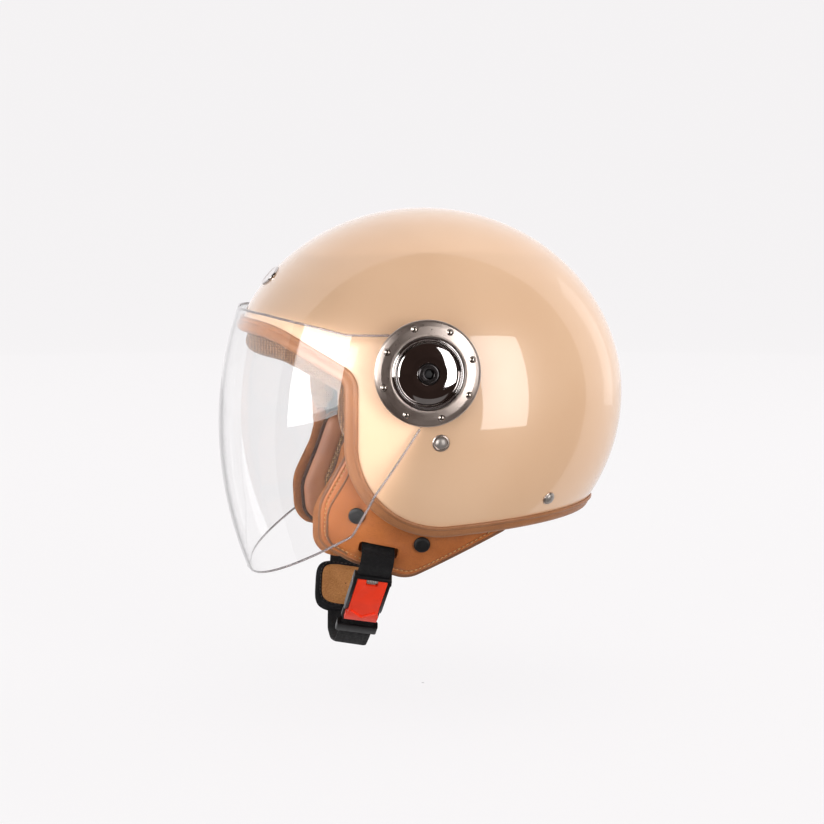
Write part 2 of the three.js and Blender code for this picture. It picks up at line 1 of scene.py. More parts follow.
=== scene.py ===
# Looks of an open face motorcycle helmet: smooth shell, sewn leather edge, clear visor, side
# plates, padded liner, leather flaps, webbing and quick-release buckle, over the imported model.
# Metres. Shapes are laid out around the shell's centre and then lowered, as in the CAD source.
import bmesh
import bpy
import math
import numpy as np
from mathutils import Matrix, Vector

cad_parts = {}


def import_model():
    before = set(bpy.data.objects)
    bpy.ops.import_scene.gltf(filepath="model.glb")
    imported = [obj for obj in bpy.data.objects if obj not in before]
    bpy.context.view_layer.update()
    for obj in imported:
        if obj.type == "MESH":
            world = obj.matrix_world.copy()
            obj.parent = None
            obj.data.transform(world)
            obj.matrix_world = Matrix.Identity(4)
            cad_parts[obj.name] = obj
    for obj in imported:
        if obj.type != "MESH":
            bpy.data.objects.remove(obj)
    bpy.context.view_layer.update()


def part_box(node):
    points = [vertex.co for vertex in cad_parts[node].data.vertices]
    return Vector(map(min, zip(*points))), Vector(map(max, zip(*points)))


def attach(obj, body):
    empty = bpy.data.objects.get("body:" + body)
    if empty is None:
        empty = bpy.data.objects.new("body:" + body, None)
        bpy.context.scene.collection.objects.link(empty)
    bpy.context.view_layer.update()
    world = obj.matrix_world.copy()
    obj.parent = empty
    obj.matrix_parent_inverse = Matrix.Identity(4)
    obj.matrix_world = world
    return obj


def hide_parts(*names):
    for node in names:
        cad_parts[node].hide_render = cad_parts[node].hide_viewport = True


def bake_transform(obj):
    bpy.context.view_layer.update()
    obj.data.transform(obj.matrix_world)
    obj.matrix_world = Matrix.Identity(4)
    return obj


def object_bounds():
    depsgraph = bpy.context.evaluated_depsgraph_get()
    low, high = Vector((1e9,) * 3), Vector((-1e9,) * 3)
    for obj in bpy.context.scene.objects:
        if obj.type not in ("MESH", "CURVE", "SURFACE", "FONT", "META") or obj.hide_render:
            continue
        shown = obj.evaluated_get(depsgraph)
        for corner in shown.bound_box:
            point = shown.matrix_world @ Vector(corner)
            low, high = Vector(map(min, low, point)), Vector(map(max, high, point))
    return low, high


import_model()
MM = 0.001

# ---------- driving dimensions, in millimetres around the shell's centre ----------
SHELL = dict(half=119.0, length=136.0, top=126.0, bottom=131.0, power=2.3)
SHELL_T = 4.0
CENTRE_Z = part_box("outer_shell")[1][2] / MM - SHELL["top"]
TRIM_WIDTH = 8.8
RIM = [(-170, 52, 0), (-111, 52, 50), (-58.8, 20.5, 16), (-58.8, -85.8, 57), (170, -65.6, 0)]
PIVOT = (-15.0, 22.5)
EAR_X = 122.8
VISOR_T = 1.8
VISOR = dict(half=126.0, arc=256.0, y=115.1, z=-24.0, power=2.4)
SKIRT = dict(half=98.0, length=150.0, top=150.0, bottom=165.0, power=2.6)
HEAD = dict(half=87.0, length=104.0, power=2.8)
DOME = 95.6
PLATE_R = 34.5
PLATE_BACK = EAR_X + 0.8
ANCHOR = (-5.5, -23.0)
REAR_RIVET = (70.5, -64.0)
STUDS = {"front": (-56.5, -73.5), "rear": (-13.5, -93.4)}
EXIT = (90.0, -42.0, -97.0)
LOOP_LEAN = math.radians(9)
LEG_START = (84.0, 15.0)
LEG_SLOPE = math.radians(46)
WEB_W = 22.0
WEB_T = 1.6


# ---------- meshes ----------
def piece(name, verts, faces, material, body, replaces=()):
    """A mesh object from points in millimetres around the shell's centre."""
    points = np.asarray(verts, float).reshape(-1, 3) * MM
    points[:, 2] += CENTRE_Z * MM
    mesh = bpy.data.meshes.new(name)
    mesh.from_pydata(points.tolist(), [], [list(map(int, f)) for f in faces])
    mesh.validate()
    mesh.update()
    mesh.shade_smooth()
    obj = bpy.data.objects.new(name, mesh)
    bpy.context.collection.objects.link(obj)
    obj.data.materials.append(material)
    fix_normals(obj)
    if body:
        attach(obj, body)
    if replaces:
        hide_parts(*replaces)
    return obj


def fix_normals(obj):
    bm = bmesh.new()
    bm.from_mesh(obj.data)
    bmesh.ops.recalc_face_normals(bm, faces=bm.faces)
    bm.to_mesh(obj.data)
    bm.free()


def apply(obj, kind, name="step", **settings):
    """Adds a modifier and applies it."""
    modifier = obj.modifiers.new(name, kind)
    for key, value in settings.items():
        setattr(modifier, key, value)
    graph = bpy.context.evaluated_depsgraph_get()
    mesh = bpy.data.meshes.new_from_object(obj.evaluated_get(graph))
    obj.modifiers.remove(modifier)
    old = obj.data
    obj.data = mesh
    bpy.data.meshes.remove(old)


def sharp_by_angle(obj, degrees=35):
    for p in obj.data.polygons:
        p.use_smooth = True
    obj.data.set_sharp_from_angle(angle=math.radians(degrees))


def grid_faces(rows, cols, wrap_cols=False, wrap_rows=False, start=0):
    faces = []
    for i in range(rows if wrap_rows else rows - 1):
        for j in range(cols if wrap_cols else cols - 1):
            a = start + i * cols + j
            b = start + i * cols + (j + 1) % cols
            c = start + ((i + 1) % rows) * cols + (j + 1) % cols
            d = start + ((i + 1) % rows) * cols + j
            faces.append((a, b, c, d))
    return faces


def thick_grid(outer, inner):
    """A closed skin from two open grids of points, joined round their borders."""
    rows, cols = outer.shape[:2]
    verts = np.concatenate([outer.reshape(-1, 3), inner.reshape(-1, 3)])
    n = rows * cols
    faces = grid_faces(rows, cols)
    faces += [tuple(reversed(f)) for f in grid_faces(rows, cols, start=n)]
    border = [(0, j) for j in range(cols)] + [(i, cols - 1) for i in range(1, rows)]
    border += [(rows - 1, j) for j in range(cols - 2, -1, -1)]
    border += [(i, 0) for i in range(rows - 2, 0, -1)]
    index = [i * cols + j for i, j in border]
    for a, b in zip(index, index[1:] + index[:1]):
        faces.append((a, a + n, b + n, b))
    return verts, faces


def turned(profile, segments=96):
    """Points and faces of a part turned about +X; profile of (x, radius), closed on itself."""
    verts = []
    for x, r in profile:
        for k in range(segments):
            a = 2 * math.pi * k / segments
            verts.append((x, max(r, 1e-3) * math.cos(a), max(r, 1e-3) * math.sin(a)))
    return np.array(verts), grid_faces(len(profile), segments, wrap_cols=True, wrap_rows=True)


def rounded_profile(points, radii, steps=5):
    """Rounds each corner of a closed 2-D outline with its own radius."""
    out = []
    n = len(points)
    for i in range(n):
        p = np.array(points[i], float)
        a = np.array(points[i - 1], float) - p
        b = np.array(points[(i + 1) % n], float) - p
        la, lb = np.linalg.norm(a), np.linalg.norm(b)
        r = radii[i] if hasattr(radii, "__len__") else radii
        if r <= 0:
            out.append(tuple(p))
            continue
        r = min(r, 0.48 * la, 0.48 * lb)
        for k in range(steps + 1):
            t = k / steps
            out.append(tuple(p + a / la * r * (1 - t) ** 2 + b / lb * r * t ** 2))
    return out


def mirror_points(verts):
    verts = np.array(verts, float)
    verts[..., 0] *= -1
    return verts


def on_side(verts, side):
    """Points made for the wearer's left, mirrored where the side is the right."""
    return mirror_points(verts) if side == "right" else verts


# ---------- the shell's surface ----------
def level(shape, p, off=0.0):
    x, y, z = np.moveaxis(np.asarray(p, float), -1, 0)
    height = np.where(z > 0, shape["top"], shape["bottom"]) + off
    r = np.hypot(y / (shape["length"] + off), z / height)
    return np.abs(x / (shape["half"] + off)) ** shape["power"] + r ** shape["power"]


def onto(shape, p, off=0.0):
    """Moves points along their rays from the centre onto the shape grown by `off`."""
    p = np.asarray(p, float)
    return p * (level(shape, p, off) ** (-1 / shape["power"]))[..., None]


def outward(shape, p, off=0.0):
    """Unit normals by differences of the level function."""
    p = np.asarray(p, float)
    g = np.stack([
        level(shape, p + np.eye(3)[k] * 0.05, off) - level(shape, p - np.eye(3)[k] * 0.05, off)
        for k in range(3)
    ], -1)
    return g / np.linalg.norm(g, axis=-1, keepdims=True)


def side_x(shape, y, z, off=0.0):
    height = np.where(np.asarray(z) > 0, shape["top"], shape["bottom"]) + off
    r = np.hypot(np.asarray(y) / (shape["length"] + off), np.asarray(z) / height)
    return (shape["half"] + off) * np.clip(1 - r ** shape["power"], 0, None) ** (1 / shape["power"])


def rounded_line(corners, step=math.radians(2)):
    """Side-view run of points (y, z) with each corner rounded by its radius."""
    out = []
    for i, (y, z, r) in enumerate(corners):
        if r == 0:
            out.append((y, z))
            continue
        c = np.array([y, z], float)
        a = np.array(corners[i - 1][:2], float) - c
        b = np.array(corners[(i + 1) % len(corners)][:2], float) - c
        a /= np.linalg.norm(a)
        b /= np.linalg.norm(b)
        if np.linalg.norm(a + b) < 1e-6:
            out.append((y, z))
            continue
        half = math.acos(np.clip(a @ b, -1, 1)) / 2
        m = (a + b) / np.linalg.norm(a + b)
        centre = c + m * r / math.sin(half)
        first = c + a * r / math.tan(half) - centre
        cross = a[0] * b[1] - a[1] * b[0]
        turn = -math.copysign(math.pi - 2 * half, cross)
        n = max(2, math.ceil(abs(turn) / step))
        for k in range(n + 1):
            t = turn * k / n
            out.append((centre[0] + first[0] * math.cos(t) - first[1] * math.sin(t),
                        centre[1] + first[0] * math.sin(t) + first[1] * math.cos(t)))
    return np.array(out)


def along(points, count=None, step=None):
    """Points at even distances along a run."""
    points = np.asarray(points, float)
    d = np.concatenate([[0], np.cumsum(np.linalg.norm(np.diff(points, axis=0), axis=1))])
    n = count or max(2, int(round(d[-1] / step)) + 1)
    s = np.linspace(0, d[-1], n)
    return np.stack([np.interp(s, d, points[:, k]) for k in range(points.shape[1])], -1)


def rim_half(count):
    """The paint's edge on the left side in 3-D, from brow middle to nape middle."""
    line = along(rounded_line(RIM), step=0.02)
    r = np.hypot(line[:, 0] / SHELL["length"],
                 line[:, 1] / np.where(line[:, 1] > 0, SHELL["top"], SHELL["bottom"]))
    line = line[r < 1]
    run = np.column_stack([side_x(SHELL, line[:, 0], line[:, 1]), line])
    run[0, 0] = 0
    run[-1, 0] = 0
    return along(run, count)


RIM_COUNT = 170
RIM_LEFT = rim_half(RIM_COUNT)
RIM_LOOP = np.concatenate([RIM_LEFT, mirror_points(RIM_LEFT)[-2:0:-1]])


def rim_frames(loop):
    tangent = np.roll(loop, -2, axis=0) - np.roll(loop, 2, axis=0)
    tangent /= np.linalg.norm(tangent, axis=1, keepdims=True)
    normal = outward(SHELL, loop)
    across = np.cross(tangent, normal)
    across /= np.linalg.norm(across, axis=1, keepdims=True)
    return normal, across


RIM_N, RIM_D = rim_frames(RIM_LOOP)
# Across points from the paint towards the opening.
if RIM_D[len(RIM_LEFT) // 2][2] > 0:
    RIM_D = -RIM_D


def rim_run(d, h):
    """The rim's loop moved `d` towards the opening and `h` out from the paint."""
    p = onto(SHELL, RIM_LOOP + RIM_D * d)
    return p + outward(SHELL, p) * h


# ---------- materials ----------
def srgb(r, g, b):
    return tuple((c / 255 / 12.92) if c / 255 <= 0.04045 else ((c / 255 + 0.055) / 1.055) ** 2.4
                 for c in (r, g, b)) + (1.0,)


class Finish:
    """One Principled material and the nodes that feed it, in object coordinates (metres)."""

    def __init__(self, name, **sockets):
        self.material = bpy.data.materials.new(name)
        self.material.use_nodes = True
        self.tree = self.material.node_tree
        self.bsdf = self.tree.nodes["Principled BSDF"]
        self.coords = self.node("ShaderNodeTexCoord").outputs["Object"]
        self.normal = None
        for key, value in sockets.items():
            self.bsdf.inputs[key.replace("_", " ")].default_value = value

    def node(self, kind, **inputs):
        n = self.tree.nodes.new(kind)
        for key, value in inputs.items():
            self.feed(n.inputs[key.replace("_", " ")], value)
        return n

    def feed(self, socket, value):
        if isinstance(value, bpy.types.NodeSocket):
            self.tree.links.new(value, socket)
        else:
            socket.default_value = value

    def noise(self, scale, detail=4, roughness=0.55):
        n = self.node("ShaderNodeTexNoise", Vector=self.coords, Scale=scale, Detail=detail,
                      Roughness=roughness)
        return n.outputs["Fac"]

    def cells(self, scale, feature="F1", randomness=1.0):
        n = self.tree.nodes.new("ShaderNodeTexVoronoi")
        n.feature = feature
        self.feed(n.inputs["Vector"], self.coords)
        self.feed(n.inputs["Scale"], scale)
        self.feed(n.inputs["Randomness"], randomness)
        return n.outputs["Distance"]

    def remap(self, value, low, high, to_low, to_high):
        n = self.node("ShaderNodeMapRange", Value=value)
        n.inputs["From Min"].default_value = low
        n.inputs["From Max"].default_value = high
        n.inputs["To Min"].default_value = to_low
        n.inputs["To Max"].default_value = to_high
        return n.outputs["Result"]

    def math(self, operation, a, b=0.0):
        n = self.tree.nodes.new("ShaderNodeMath")
        n.operation = operation
        self.feed(n.inputs[0], a)
        self.feed(n.inputs[1], b)
        return n.outputs[0]

    def mix(self, factor, a, b):
        n = self.tree.nodes.new("ShaderNodeMix")
        n.data_type = "RGBA"
        self.feed(n.inputs[0], factor)
        self.feed(n.inputs[6], a)
        self.feed(n.inputs[7], b)
        return n.outputs[2]

    def bump(self, height, strength, distance=0.0005):
        n = self.node("ShaderNodeBump", Height=height, Strength=strength, Distance=distance)
        if self.normal:
            self.feed(n.inputs["Normal"], self.normal)
        self.normal = n.outputs["Normal"]
        self.feed(self.bsdf.inputs["Normal"], self.normal)

    def color(self, value):
        self.feed(self.bsdf.inputs["Base Color"], value)

    def rough(self, value):
        self.feed(self.bsdf.inputs["Roughness"], value)

    def uv(self):
        return self.node("ShaderNodeTexCoord").outputs["UV"]


def paint():
    f = Finish("cream_enamel", Coat_Weight=1.0, Coat_Roughness=0.03, Coat_IOR=1.5)
    tone = f.remap(f.noise(9, 3), 0.35, 0.65, 0, 1)
    f.color(f.mix(tone, srgb(231, 191, 155), srgb(227, 185, 148)))
    f.rough(f.remap(f.noise(60, 3), 0.3, 0.7, 0.30, 0.38))
    f.bump(f.noise(420, 2), 0.02, 0.0002)
    return f.material


def leather(name, light, dark, scale=900, roughness=0.42, depth=0.35):
    f = Finish(name, Specular_IOR_Level=0.45)
    tone = f.remap(f.noise(28, 5, 0.6), 0.35, 0.68, 0, 1)
    pores = f.cells(scale, "DISTANCE_TO_EDGE")
    crease = f.remap(pores, 0.0, 0.12, 0, 1)
    base = f.mix(tone, srgb(*dark), srgb(*light))
    f.color(f.mix(f.remap(crease, 0, 1, 0.28, 0), base, srgb(*(int(c * 0.55) for c in dark))))
    f.rough(f.remap(f.noise(140, 4), 0.3, 0.7, roughness - 0.07, roughness + 0.1))
    f.bump(crease, depth, 0.00018)
    f.bump(f.noise(90, 4), 0.12, 0.0006)
    return f.material


def suede(name, light, dark):
    f = Finish(name, Sheen_Weight=0.5, Sheen_Roughness=0.5, Specular_IOR_Level=0.15)
    f.bsdf.inputs["Sheen Tint"].default_value = srgb(*light)
    nap = f.noise(900, 4, 0.7)
    patch = f.noise(70, 4, 0.6)
    mixed = f.math("ADD", f.math("MULTIPLY", nap, 0.6), f.math("MULTIPLY", patch, 0.4))
    f.color(f.mix(f.remap(mixed, 0.38, 0.62, 0, 1), srgb(*dark), srgb(*light)))
    f.rough(f.remap(nap, 0.3, 0.7, 0.85, 0.98))
    f.bump(nap, 0.6, 0.0005)
    f.bump(f.noise(2600, 2), 0.4, 0.0002)
    return f.material


def spacer_mesh():
    f = Finish("golden_mesh", Sheen_Weight=0.25, Sheen_Roughness=0.4)
    n = f.cells(620, randomness=0.25)
    hole = f.remap(n, 0.2, 0.55, 1, 0)
    thread = f.noise(1500, 3)
    # Holes darker than the threads: painted shade inside the mesh's openings.
    f.color(f.mix(hole, srgb(98, 62, 38), f.mix(thread, srgb(150, 103, 66), srgb(205, 160, 110))))
    f.rough(f.remap(thread, 0.3, 0.7, 0.5, 0.8))
    f.bump(hole, 0.8, 0.0006)
    return f.material


def webbing(name, dark, light):
    """Herringbone weave from the strip's own UV, in millimetres along and across."""
    f = Finish(name, Sheen_Weight=0.04, Sheen_Roughness=0.4, Specular_IOR_Level=0.3)
    sep = f.node("ShaderNodeSeparateXYZ", Vector=f.uv())
    u, v = sep.outputs["X"], sep.outputs["Y"]
    zig = f.math("PINGPONG", v, 2.75)
    warp = f.math("SINE", f.math("MULTIPLY", f.math("ADD", u, zig), 2 * math.pi / 1.3))
    weft = f.math("SINE", f.math("MULTIPLY", v, 2 * math.pi / 0.75))
    height = f.math("ADD", f.math("MULTIPLY", warp, 0.6), f.math("MULTIPLY", weft, 0.4))
    wear = f.noise(500, 3)
    # Painted shade in the weave's dips and painted highlight on its raised threads, times random
    # wear.
    tone = f.math("MULTIPLY", f.remap(height, -1, 1, 0, 1), f.remap(wear, 0.3, 0.7, 0.5, 1))
    f.color(f.mix(tone, srgb(*dark), srgb(*light)))
    f.rough(f.remap(wear, 0.3, 0.7, 0.6, 0.85))
    f.bump(height, 0.8, 0.00035)
    return f.material


def plastic(name, color, roughness=0.4, grain=0.08, speck=0.08):
    f = Finish(name, Specular_IOR_Level=0.5)
    tone = f.remap(f.noise(120, 4), 0.3, 0.7, 0, 1)
    dark = tuple(int(c * (1 - speck)) for c in color)
    f.color(f.mix(tone, srgb(*dark), srgb(*color)))
    f.rough(f.remap(f.noise(300, 4), 0.3, 0.7, roughness - 0.05, roughness + 0.08))
    f.bump(f.noise(1400, 3), grain, 0.0002)
    return f.material


def metal(name, color, roughness, grain=0.05, metallic=1.0):
    f = Finish(name, Metallic=metallic)
    lines = f.noise(600, 4, 0.6)
    tone = f.remap(f.noise(60, 4), 0.3, 0.7, 0, 1)
    dark = tuple(int(c * 0.9) for c in color)
    f.color(f.mix(tone, srgb(*dark), srgb(*color)))
    f.rough(f.remap(lines, 0.3, 0.7, max(0.01, roughness - 0.03), roughness + 0.04))
    f.bump(lines, grain, 0.0001)
    return f.material


def grey_edge_line_paint():
    """Grey glass for tubes along the visor's cut edge: painted lines for its light and dark
    refraction.
    """
    f = Finish("visor_edge_painted_lines", Transmission_Weight=0.7, IOR=1.5, Specular_IOR_Level=0.6)
    tone = f.remap(f.noise(60, 3), 0.35, 0.65, 0, 1)
    f.color(f.mix(tone, srgb(176, 166, 166), srgb(202, 193, 194)))
    f.rough(f.remap(f.noise(200, 3), 0.3, 0.7, 0.06, 0.16))
    return f.material


def clear_plastic():
    """Clear polycarbonate: shadow rays pass it, so that it doesn't darken what is behind."""
    f = Finish("clear_polycarbonate", Transmission_Weight=1.0, IOR=1.2, Coat_Weight=0.7,
               Coat_Roughness=0.01, Coat_IOR=1.5)
    f.bsdf.inputs["Base Color"].default_value = (0.985, 0.985, 0.985, 1)
    f.rough(f.remap(f.noise(40, 4), 0.3, 0.7, 0.0, 0.002))
    out = f.tree.nodes["Material Output"]
    clear = f.node("ShaderNodeBsdfTransparent")
    clear.inputs["Color"].default_value = (0.97, 0.965, 0.965, 1)
    path = f.tree.nodes.new("ShaderNodeLightPath")
    mix = f.tree.nodes.new("ShaderNodeMixShader")
    f.feed(mix.inputs[0], path.outputs["Is Shadow Ray"])
    f.feed(mix.inputs[1], f.bsdf.outputs[0])
    f.feed(mix.inputs[2], clear.outputs[0])
    f.feed(out.inputs["Surface"], mix.outputs[0])
    return f.material


PAINT = paint()
EDGE = leather("edge_leather", (170, 114, 74), (152, 98, 60), 1300, 0.4, 0.15)
LEATHER = leather("flap_leather", (192, 114, 58), (168, 94, 44), 900, 0.38, 0.22)
PAD_LEATHER = leather("pad_leather", (172, 108, 66), (150, 90, 54), 1000, 0.45, 0.3)
SUEDE = suede("tan_suede", (168, 108, 66), (128, 78, 44))
CHIN_SUEDE = suede("chin_suede", (196, 138, 86), (158, 106, 62))
BINDING = suede("dark_binding", (84, 54, 40), (52, 34, 26))
BLACK_BINDING = suede("black_binding", (34, 33, 36), (14, 13, 14))
THREAD = plastic("tan_thread", (206, 160, 104), 0.7, 0.4)
DARK_THREAD = plastic("dark_thread", (60, 52, 46), 0.7, 0.4)
MESH_CLOTH = spacer_mesh()
WEBBING = webbing("black_webbing", (3, 2, 3), (17, 14, 17))
BLACK = plastic("black_nylon", (13, 12, 14), 0.38, 0.15)
STUD = plastic("stud_enamel", (5, 5, 6), 0.55, 0.05)
RED = plastic("red_nylon", (255, 58, 18), 0.36, 0.06, 0.04)
SATIN = metal("satin_nickel", (222, 206, 196), 0.3, 0.03)
CHROME = metal("mirror_chrome", (206, 200, 198), 0.03, 0.003)
STEEL = metal("zinc_steel", (186, 178, 172), 0.42, 0.05, metallic=0.75)
CLEAR = clear_plastic()
# Grey glass that paints the light and dark refraction lines of the visor's edge.
PAINTED_EDGE_LINES = grey_edge_line_paint()


# ---------- shell and leather edge ----------
def spine(count):
    """The middle line over the top of the shell, from brow to nape."""
    a = np.linspace(math.atan2(RIM_LEFT[0][2], RIM_LEFT[0][1]),
                    math.atan2(RIM_LEFT[-1][2], RIM_LEFT[-1][1]), count)
    return onto(SHELL, np.stack([np.zeros(count), np.cos(a), np.sin(a)], -1) * 100)


def shell_grid(painted_edge_line, off, rows=64):
    """Left half from the rim to the middle line, as rows of points."""
    low = rim_run(painted_edge_line, 0)[:RIM_COUNT]
    low[0, 0] = low[-1, 0] = 0
    top = spine(RIM_COUNT)
    t = np.linspace(0, 1, rows)[:, None, None]
    return onto(SHELL, low * (1 - t) + top * t, off)


def make_shell():
    outer = shell_grid(4.5, 0)
    inner = shell_grid(4.5, -SHELL_T)
    whole = [np.concatenate([g, mirror_points(g)[-2::-1]]) for g in (outer, inner)]
    verts, faces = thick_grid(*whole)
    obj = piece("shell_skin", verts, faces, PAINT, "helmet", ["outer_shell"])
    weld(obj, 0.00004)
    return obj


def weld(obj, distance=0.00002):
    bm = bmesh.new()
    bm.from_mesh(obj.data)
    bmesh.ops.remove_doubles(bm, verts=bm.verts, dist=distance)
    bmesh.ops.dissolve_degenerate(bm, edges=bm.edges, dist=distance / 4)
    bmesh.ops.recalc_face_normals(bm, faces=bm.faces)
    bm.to_mesh(obj.data)
    bm.free()


def swept(section, name, material, replaces=()):
    """A closed section of (d, h) points carried round the rim."""
    rows = [rim_run(d, h) for d, h in section]
    n = len(RIM_LOOP)
    faces = grid_faces(len(rows), n, wrap_cols=True, wrap_rows=True)
    return piece(name, np.concatenate(rows), faces, material, "helmet", replaces)


def make_trim():
    """U-shaped edging: a rolled welt against the paint, a flat band, and a fold round the rim."""
    w = TRIM_WIDTH
    outside = [(-0.6, 0.05), (-0.9, 0.7), (-0.5, 1.5), (0.4, 1.9), (1.3, 1.7), (1.9, 1.25),
               (2.3, 1.2), (3.2, 1.55), (4.6, 1.85), (6.2, 1.85), (7.6, 1.4), (8.5, 0.4),
               (w + 0.15, -1.2), (w + 0.1, -3.0), (8.4, -4.7), (7.4, -5.5)]
    inside = [(5.0, -5.9), (2.5, -5.9), (0.5, -5.6), (0.2, -4.4), (4.6, -4.15), (7.0, -4.1),
              (7.2, 0.05)]
    section = rounded_profile(outside + inside, 0.35, 2)
    return swept(section, "leather_edging", EDGE, ["edge_trim"])


make_shell()
make_trim()


# ---------- visor ----------
def visor_reach(angle, off=0.0):
    dy, dz = np.cos(angle), np.sin(angle)
    py, pz = PIVOT[0] - VISOR["y"], PIVOT[1] - VISOR["z"]
    b = py * dy + pz * dz
    c = py * py + pz * pz - (VISOR["arc"] + off) ** 2
    return -b + np.sqrt(b * b - c)


VISOR_TOP = [(-170, 62.5), (-115, 57.5), (-90, 52.5), (-66, 46.8), (40, 46.8)]
VISOR_LOW = [(-170, -149.5, 0), (-62, -83.5, 7), (-48, -56, 30), (-38, -41, 30), (-24, -20, 20),
             (-15, -6, 0)]
HUB_R = 6.6
EAR_R = 31.0
PAINTED_LINE_TUBE_R = 0.8


def visor_free_edge():
    """The visor's cut edge in side view: front top, over the ear, then down to the front."""
    top = rounded_line([(y, z, 25 if 0 < i < len(VISOR_TOP) - 1 else 0)
                        for i, (y, z) in enumerate(VISOR_TOP)])
    low = rounded_line(VISOR_LOW)
    low = low[np.argsort(-low[:, 1], kind="stable")]
    a = np.linspace(math.radians(128), math.radians(-104), 60)
    ear = np.stack([PIVOT[0] + EAR_R * np.cos(a), PIVOT[1] + EAR_R * np.sin(a)], -1)
    runs = []
    for run in (top[np.argsort(top[:, 0], kind="stable")], low):
        run = along(run, step=0.5) - np.array(PIVOT)
        angle = np.arctan2(run[:, 1], run[:, 0]) % (2 * math.pi)
        reach = visor_reach(angle)
        r = np.linalg.norm(run, axis=1)
        keep = (r < reach) & (r > EAR_R) & (run[:, 0] < 0)
        runs.append(run[keep] + np.array(PIVOT))
    return runs[0], ear, runs[1]


def to_visor(points, off):
    """Puts side-view points on the visor's left wall; (x, y, z)."""
    d = points - np.array(PIVOT)
    reach = visor_reach(np.arctan2(d[..., 1], d[..., 0]), off)
    f = np.clip(np.linalg.norm(d, axis=-1) / reach, 0, 1)
    x = (VISOR["half"] + off) * (1 - f ** VISOR["power"]) ** (1 / VISOR["power"])
    x = -np.logaddexp(-x / 0.5, -(EAR_X + off) / 0.5) * 0.5
    return np.concatenate([np.where(f < 0.9999, np.clip(x, 0, None), 0)[..., None], points], -1)


def make_visor():
    middle = -VISOR_T / 2
    top, ear, low = visor_free_edge()
    a0 = math.atan2(*(low[-1] - PIVOT)[::-1]) % (2 * math.pi)
    a1 = math.atan2(*(top[0] - PIVOT)[::-1]) % (2 * math.pi)
    rows, front_count = 60, 70
    a = np.linspace(a0, a1, front_count)
    reach = visor_reach(a, middle)
    front = np.stack([PIVOT[0] + reach * np.cos(a), PIVOT[1] + reach * np.sin(a)], -1)
    outline = np.concatenate([along(top, 70)[1:], ear, along(low, 90)[:-1], front])
    way = (outline - PIVOT) / np.linalg.norm(outline - PIVOT, axis=1, keepdims=True)
    start = PIVOT + way * HUB_R
    t = np.sin(np.linspace(0, math.pi / 2, rows))[:, None, None]
    grid = to_visor(start[None] * (1 - t) + outline[None] * t, middle)
    grid[-1, -front_count:, 0] = 0
    count = len(outline)
    verts = np.concatenate([grid.reshape(-1, 3), mirror_points(grid.reshape(-1, 3))])
    faces = grid_faces(rows, count, wrap_cols=True)
    faces += [tuple(i + rows * count for i in f[::-1]) for f in faces]
    obj = piece("clear_visor", verts, faces, CLEAR, "visor_body", ["visor"])
    weld(obj)
    apply(obj, "SOLIDIFY", thickness=VISOR_T * MM, offset=0.0)
    sharp_by_angle(obj, 50)
    # Grey tubes along the top and lower edges: painted lines for the edge's light and dark
    # refraction.
    for name, line in (("top", top[:-6]), ("low", low[12:][::-1])):
        side = to_visor(along(line, step=1.5), middle)
        side[0, 0] = 0
        run = np.concatenate([mirror_points(side)[:0:-1], side])
        tube(f"visor_{name}_edge", run, PAINTED_LINE_TUBE_R, PAINTED_EDGE_LINES, "visor_body", around=10,
             lean=run - (0, *PIVOT))


# ---------- small turned hardware ----------
def stand(verts, point, normal):
    """Places a part made along +X on a surface point."""
    turn = Vector((1, 0, 0)).rotation_difference(Vector(normal))
    matrix = np.array(turn.to_matrix())
    return verts @ matrix.T + np.array(point)


def turned_piece(side, name, profile, radii, origin, material, body, replaces, normal=None,
                 segments=96, angle=30):
    verts, faces = turned(rounded_profile(profile, radii), segments)
    verts = stand(verts, origin, normal if normal is not None else (1, 0, 0))
    verts = on_side(verts, side)
    obj = piece(name, verts, faces, material, body, replaces)
    weld(obj)
    sharp_by_angle(obj, angle)
    return obj


DOTS = {"count": 8, "radius": 29.6, "first": 17}


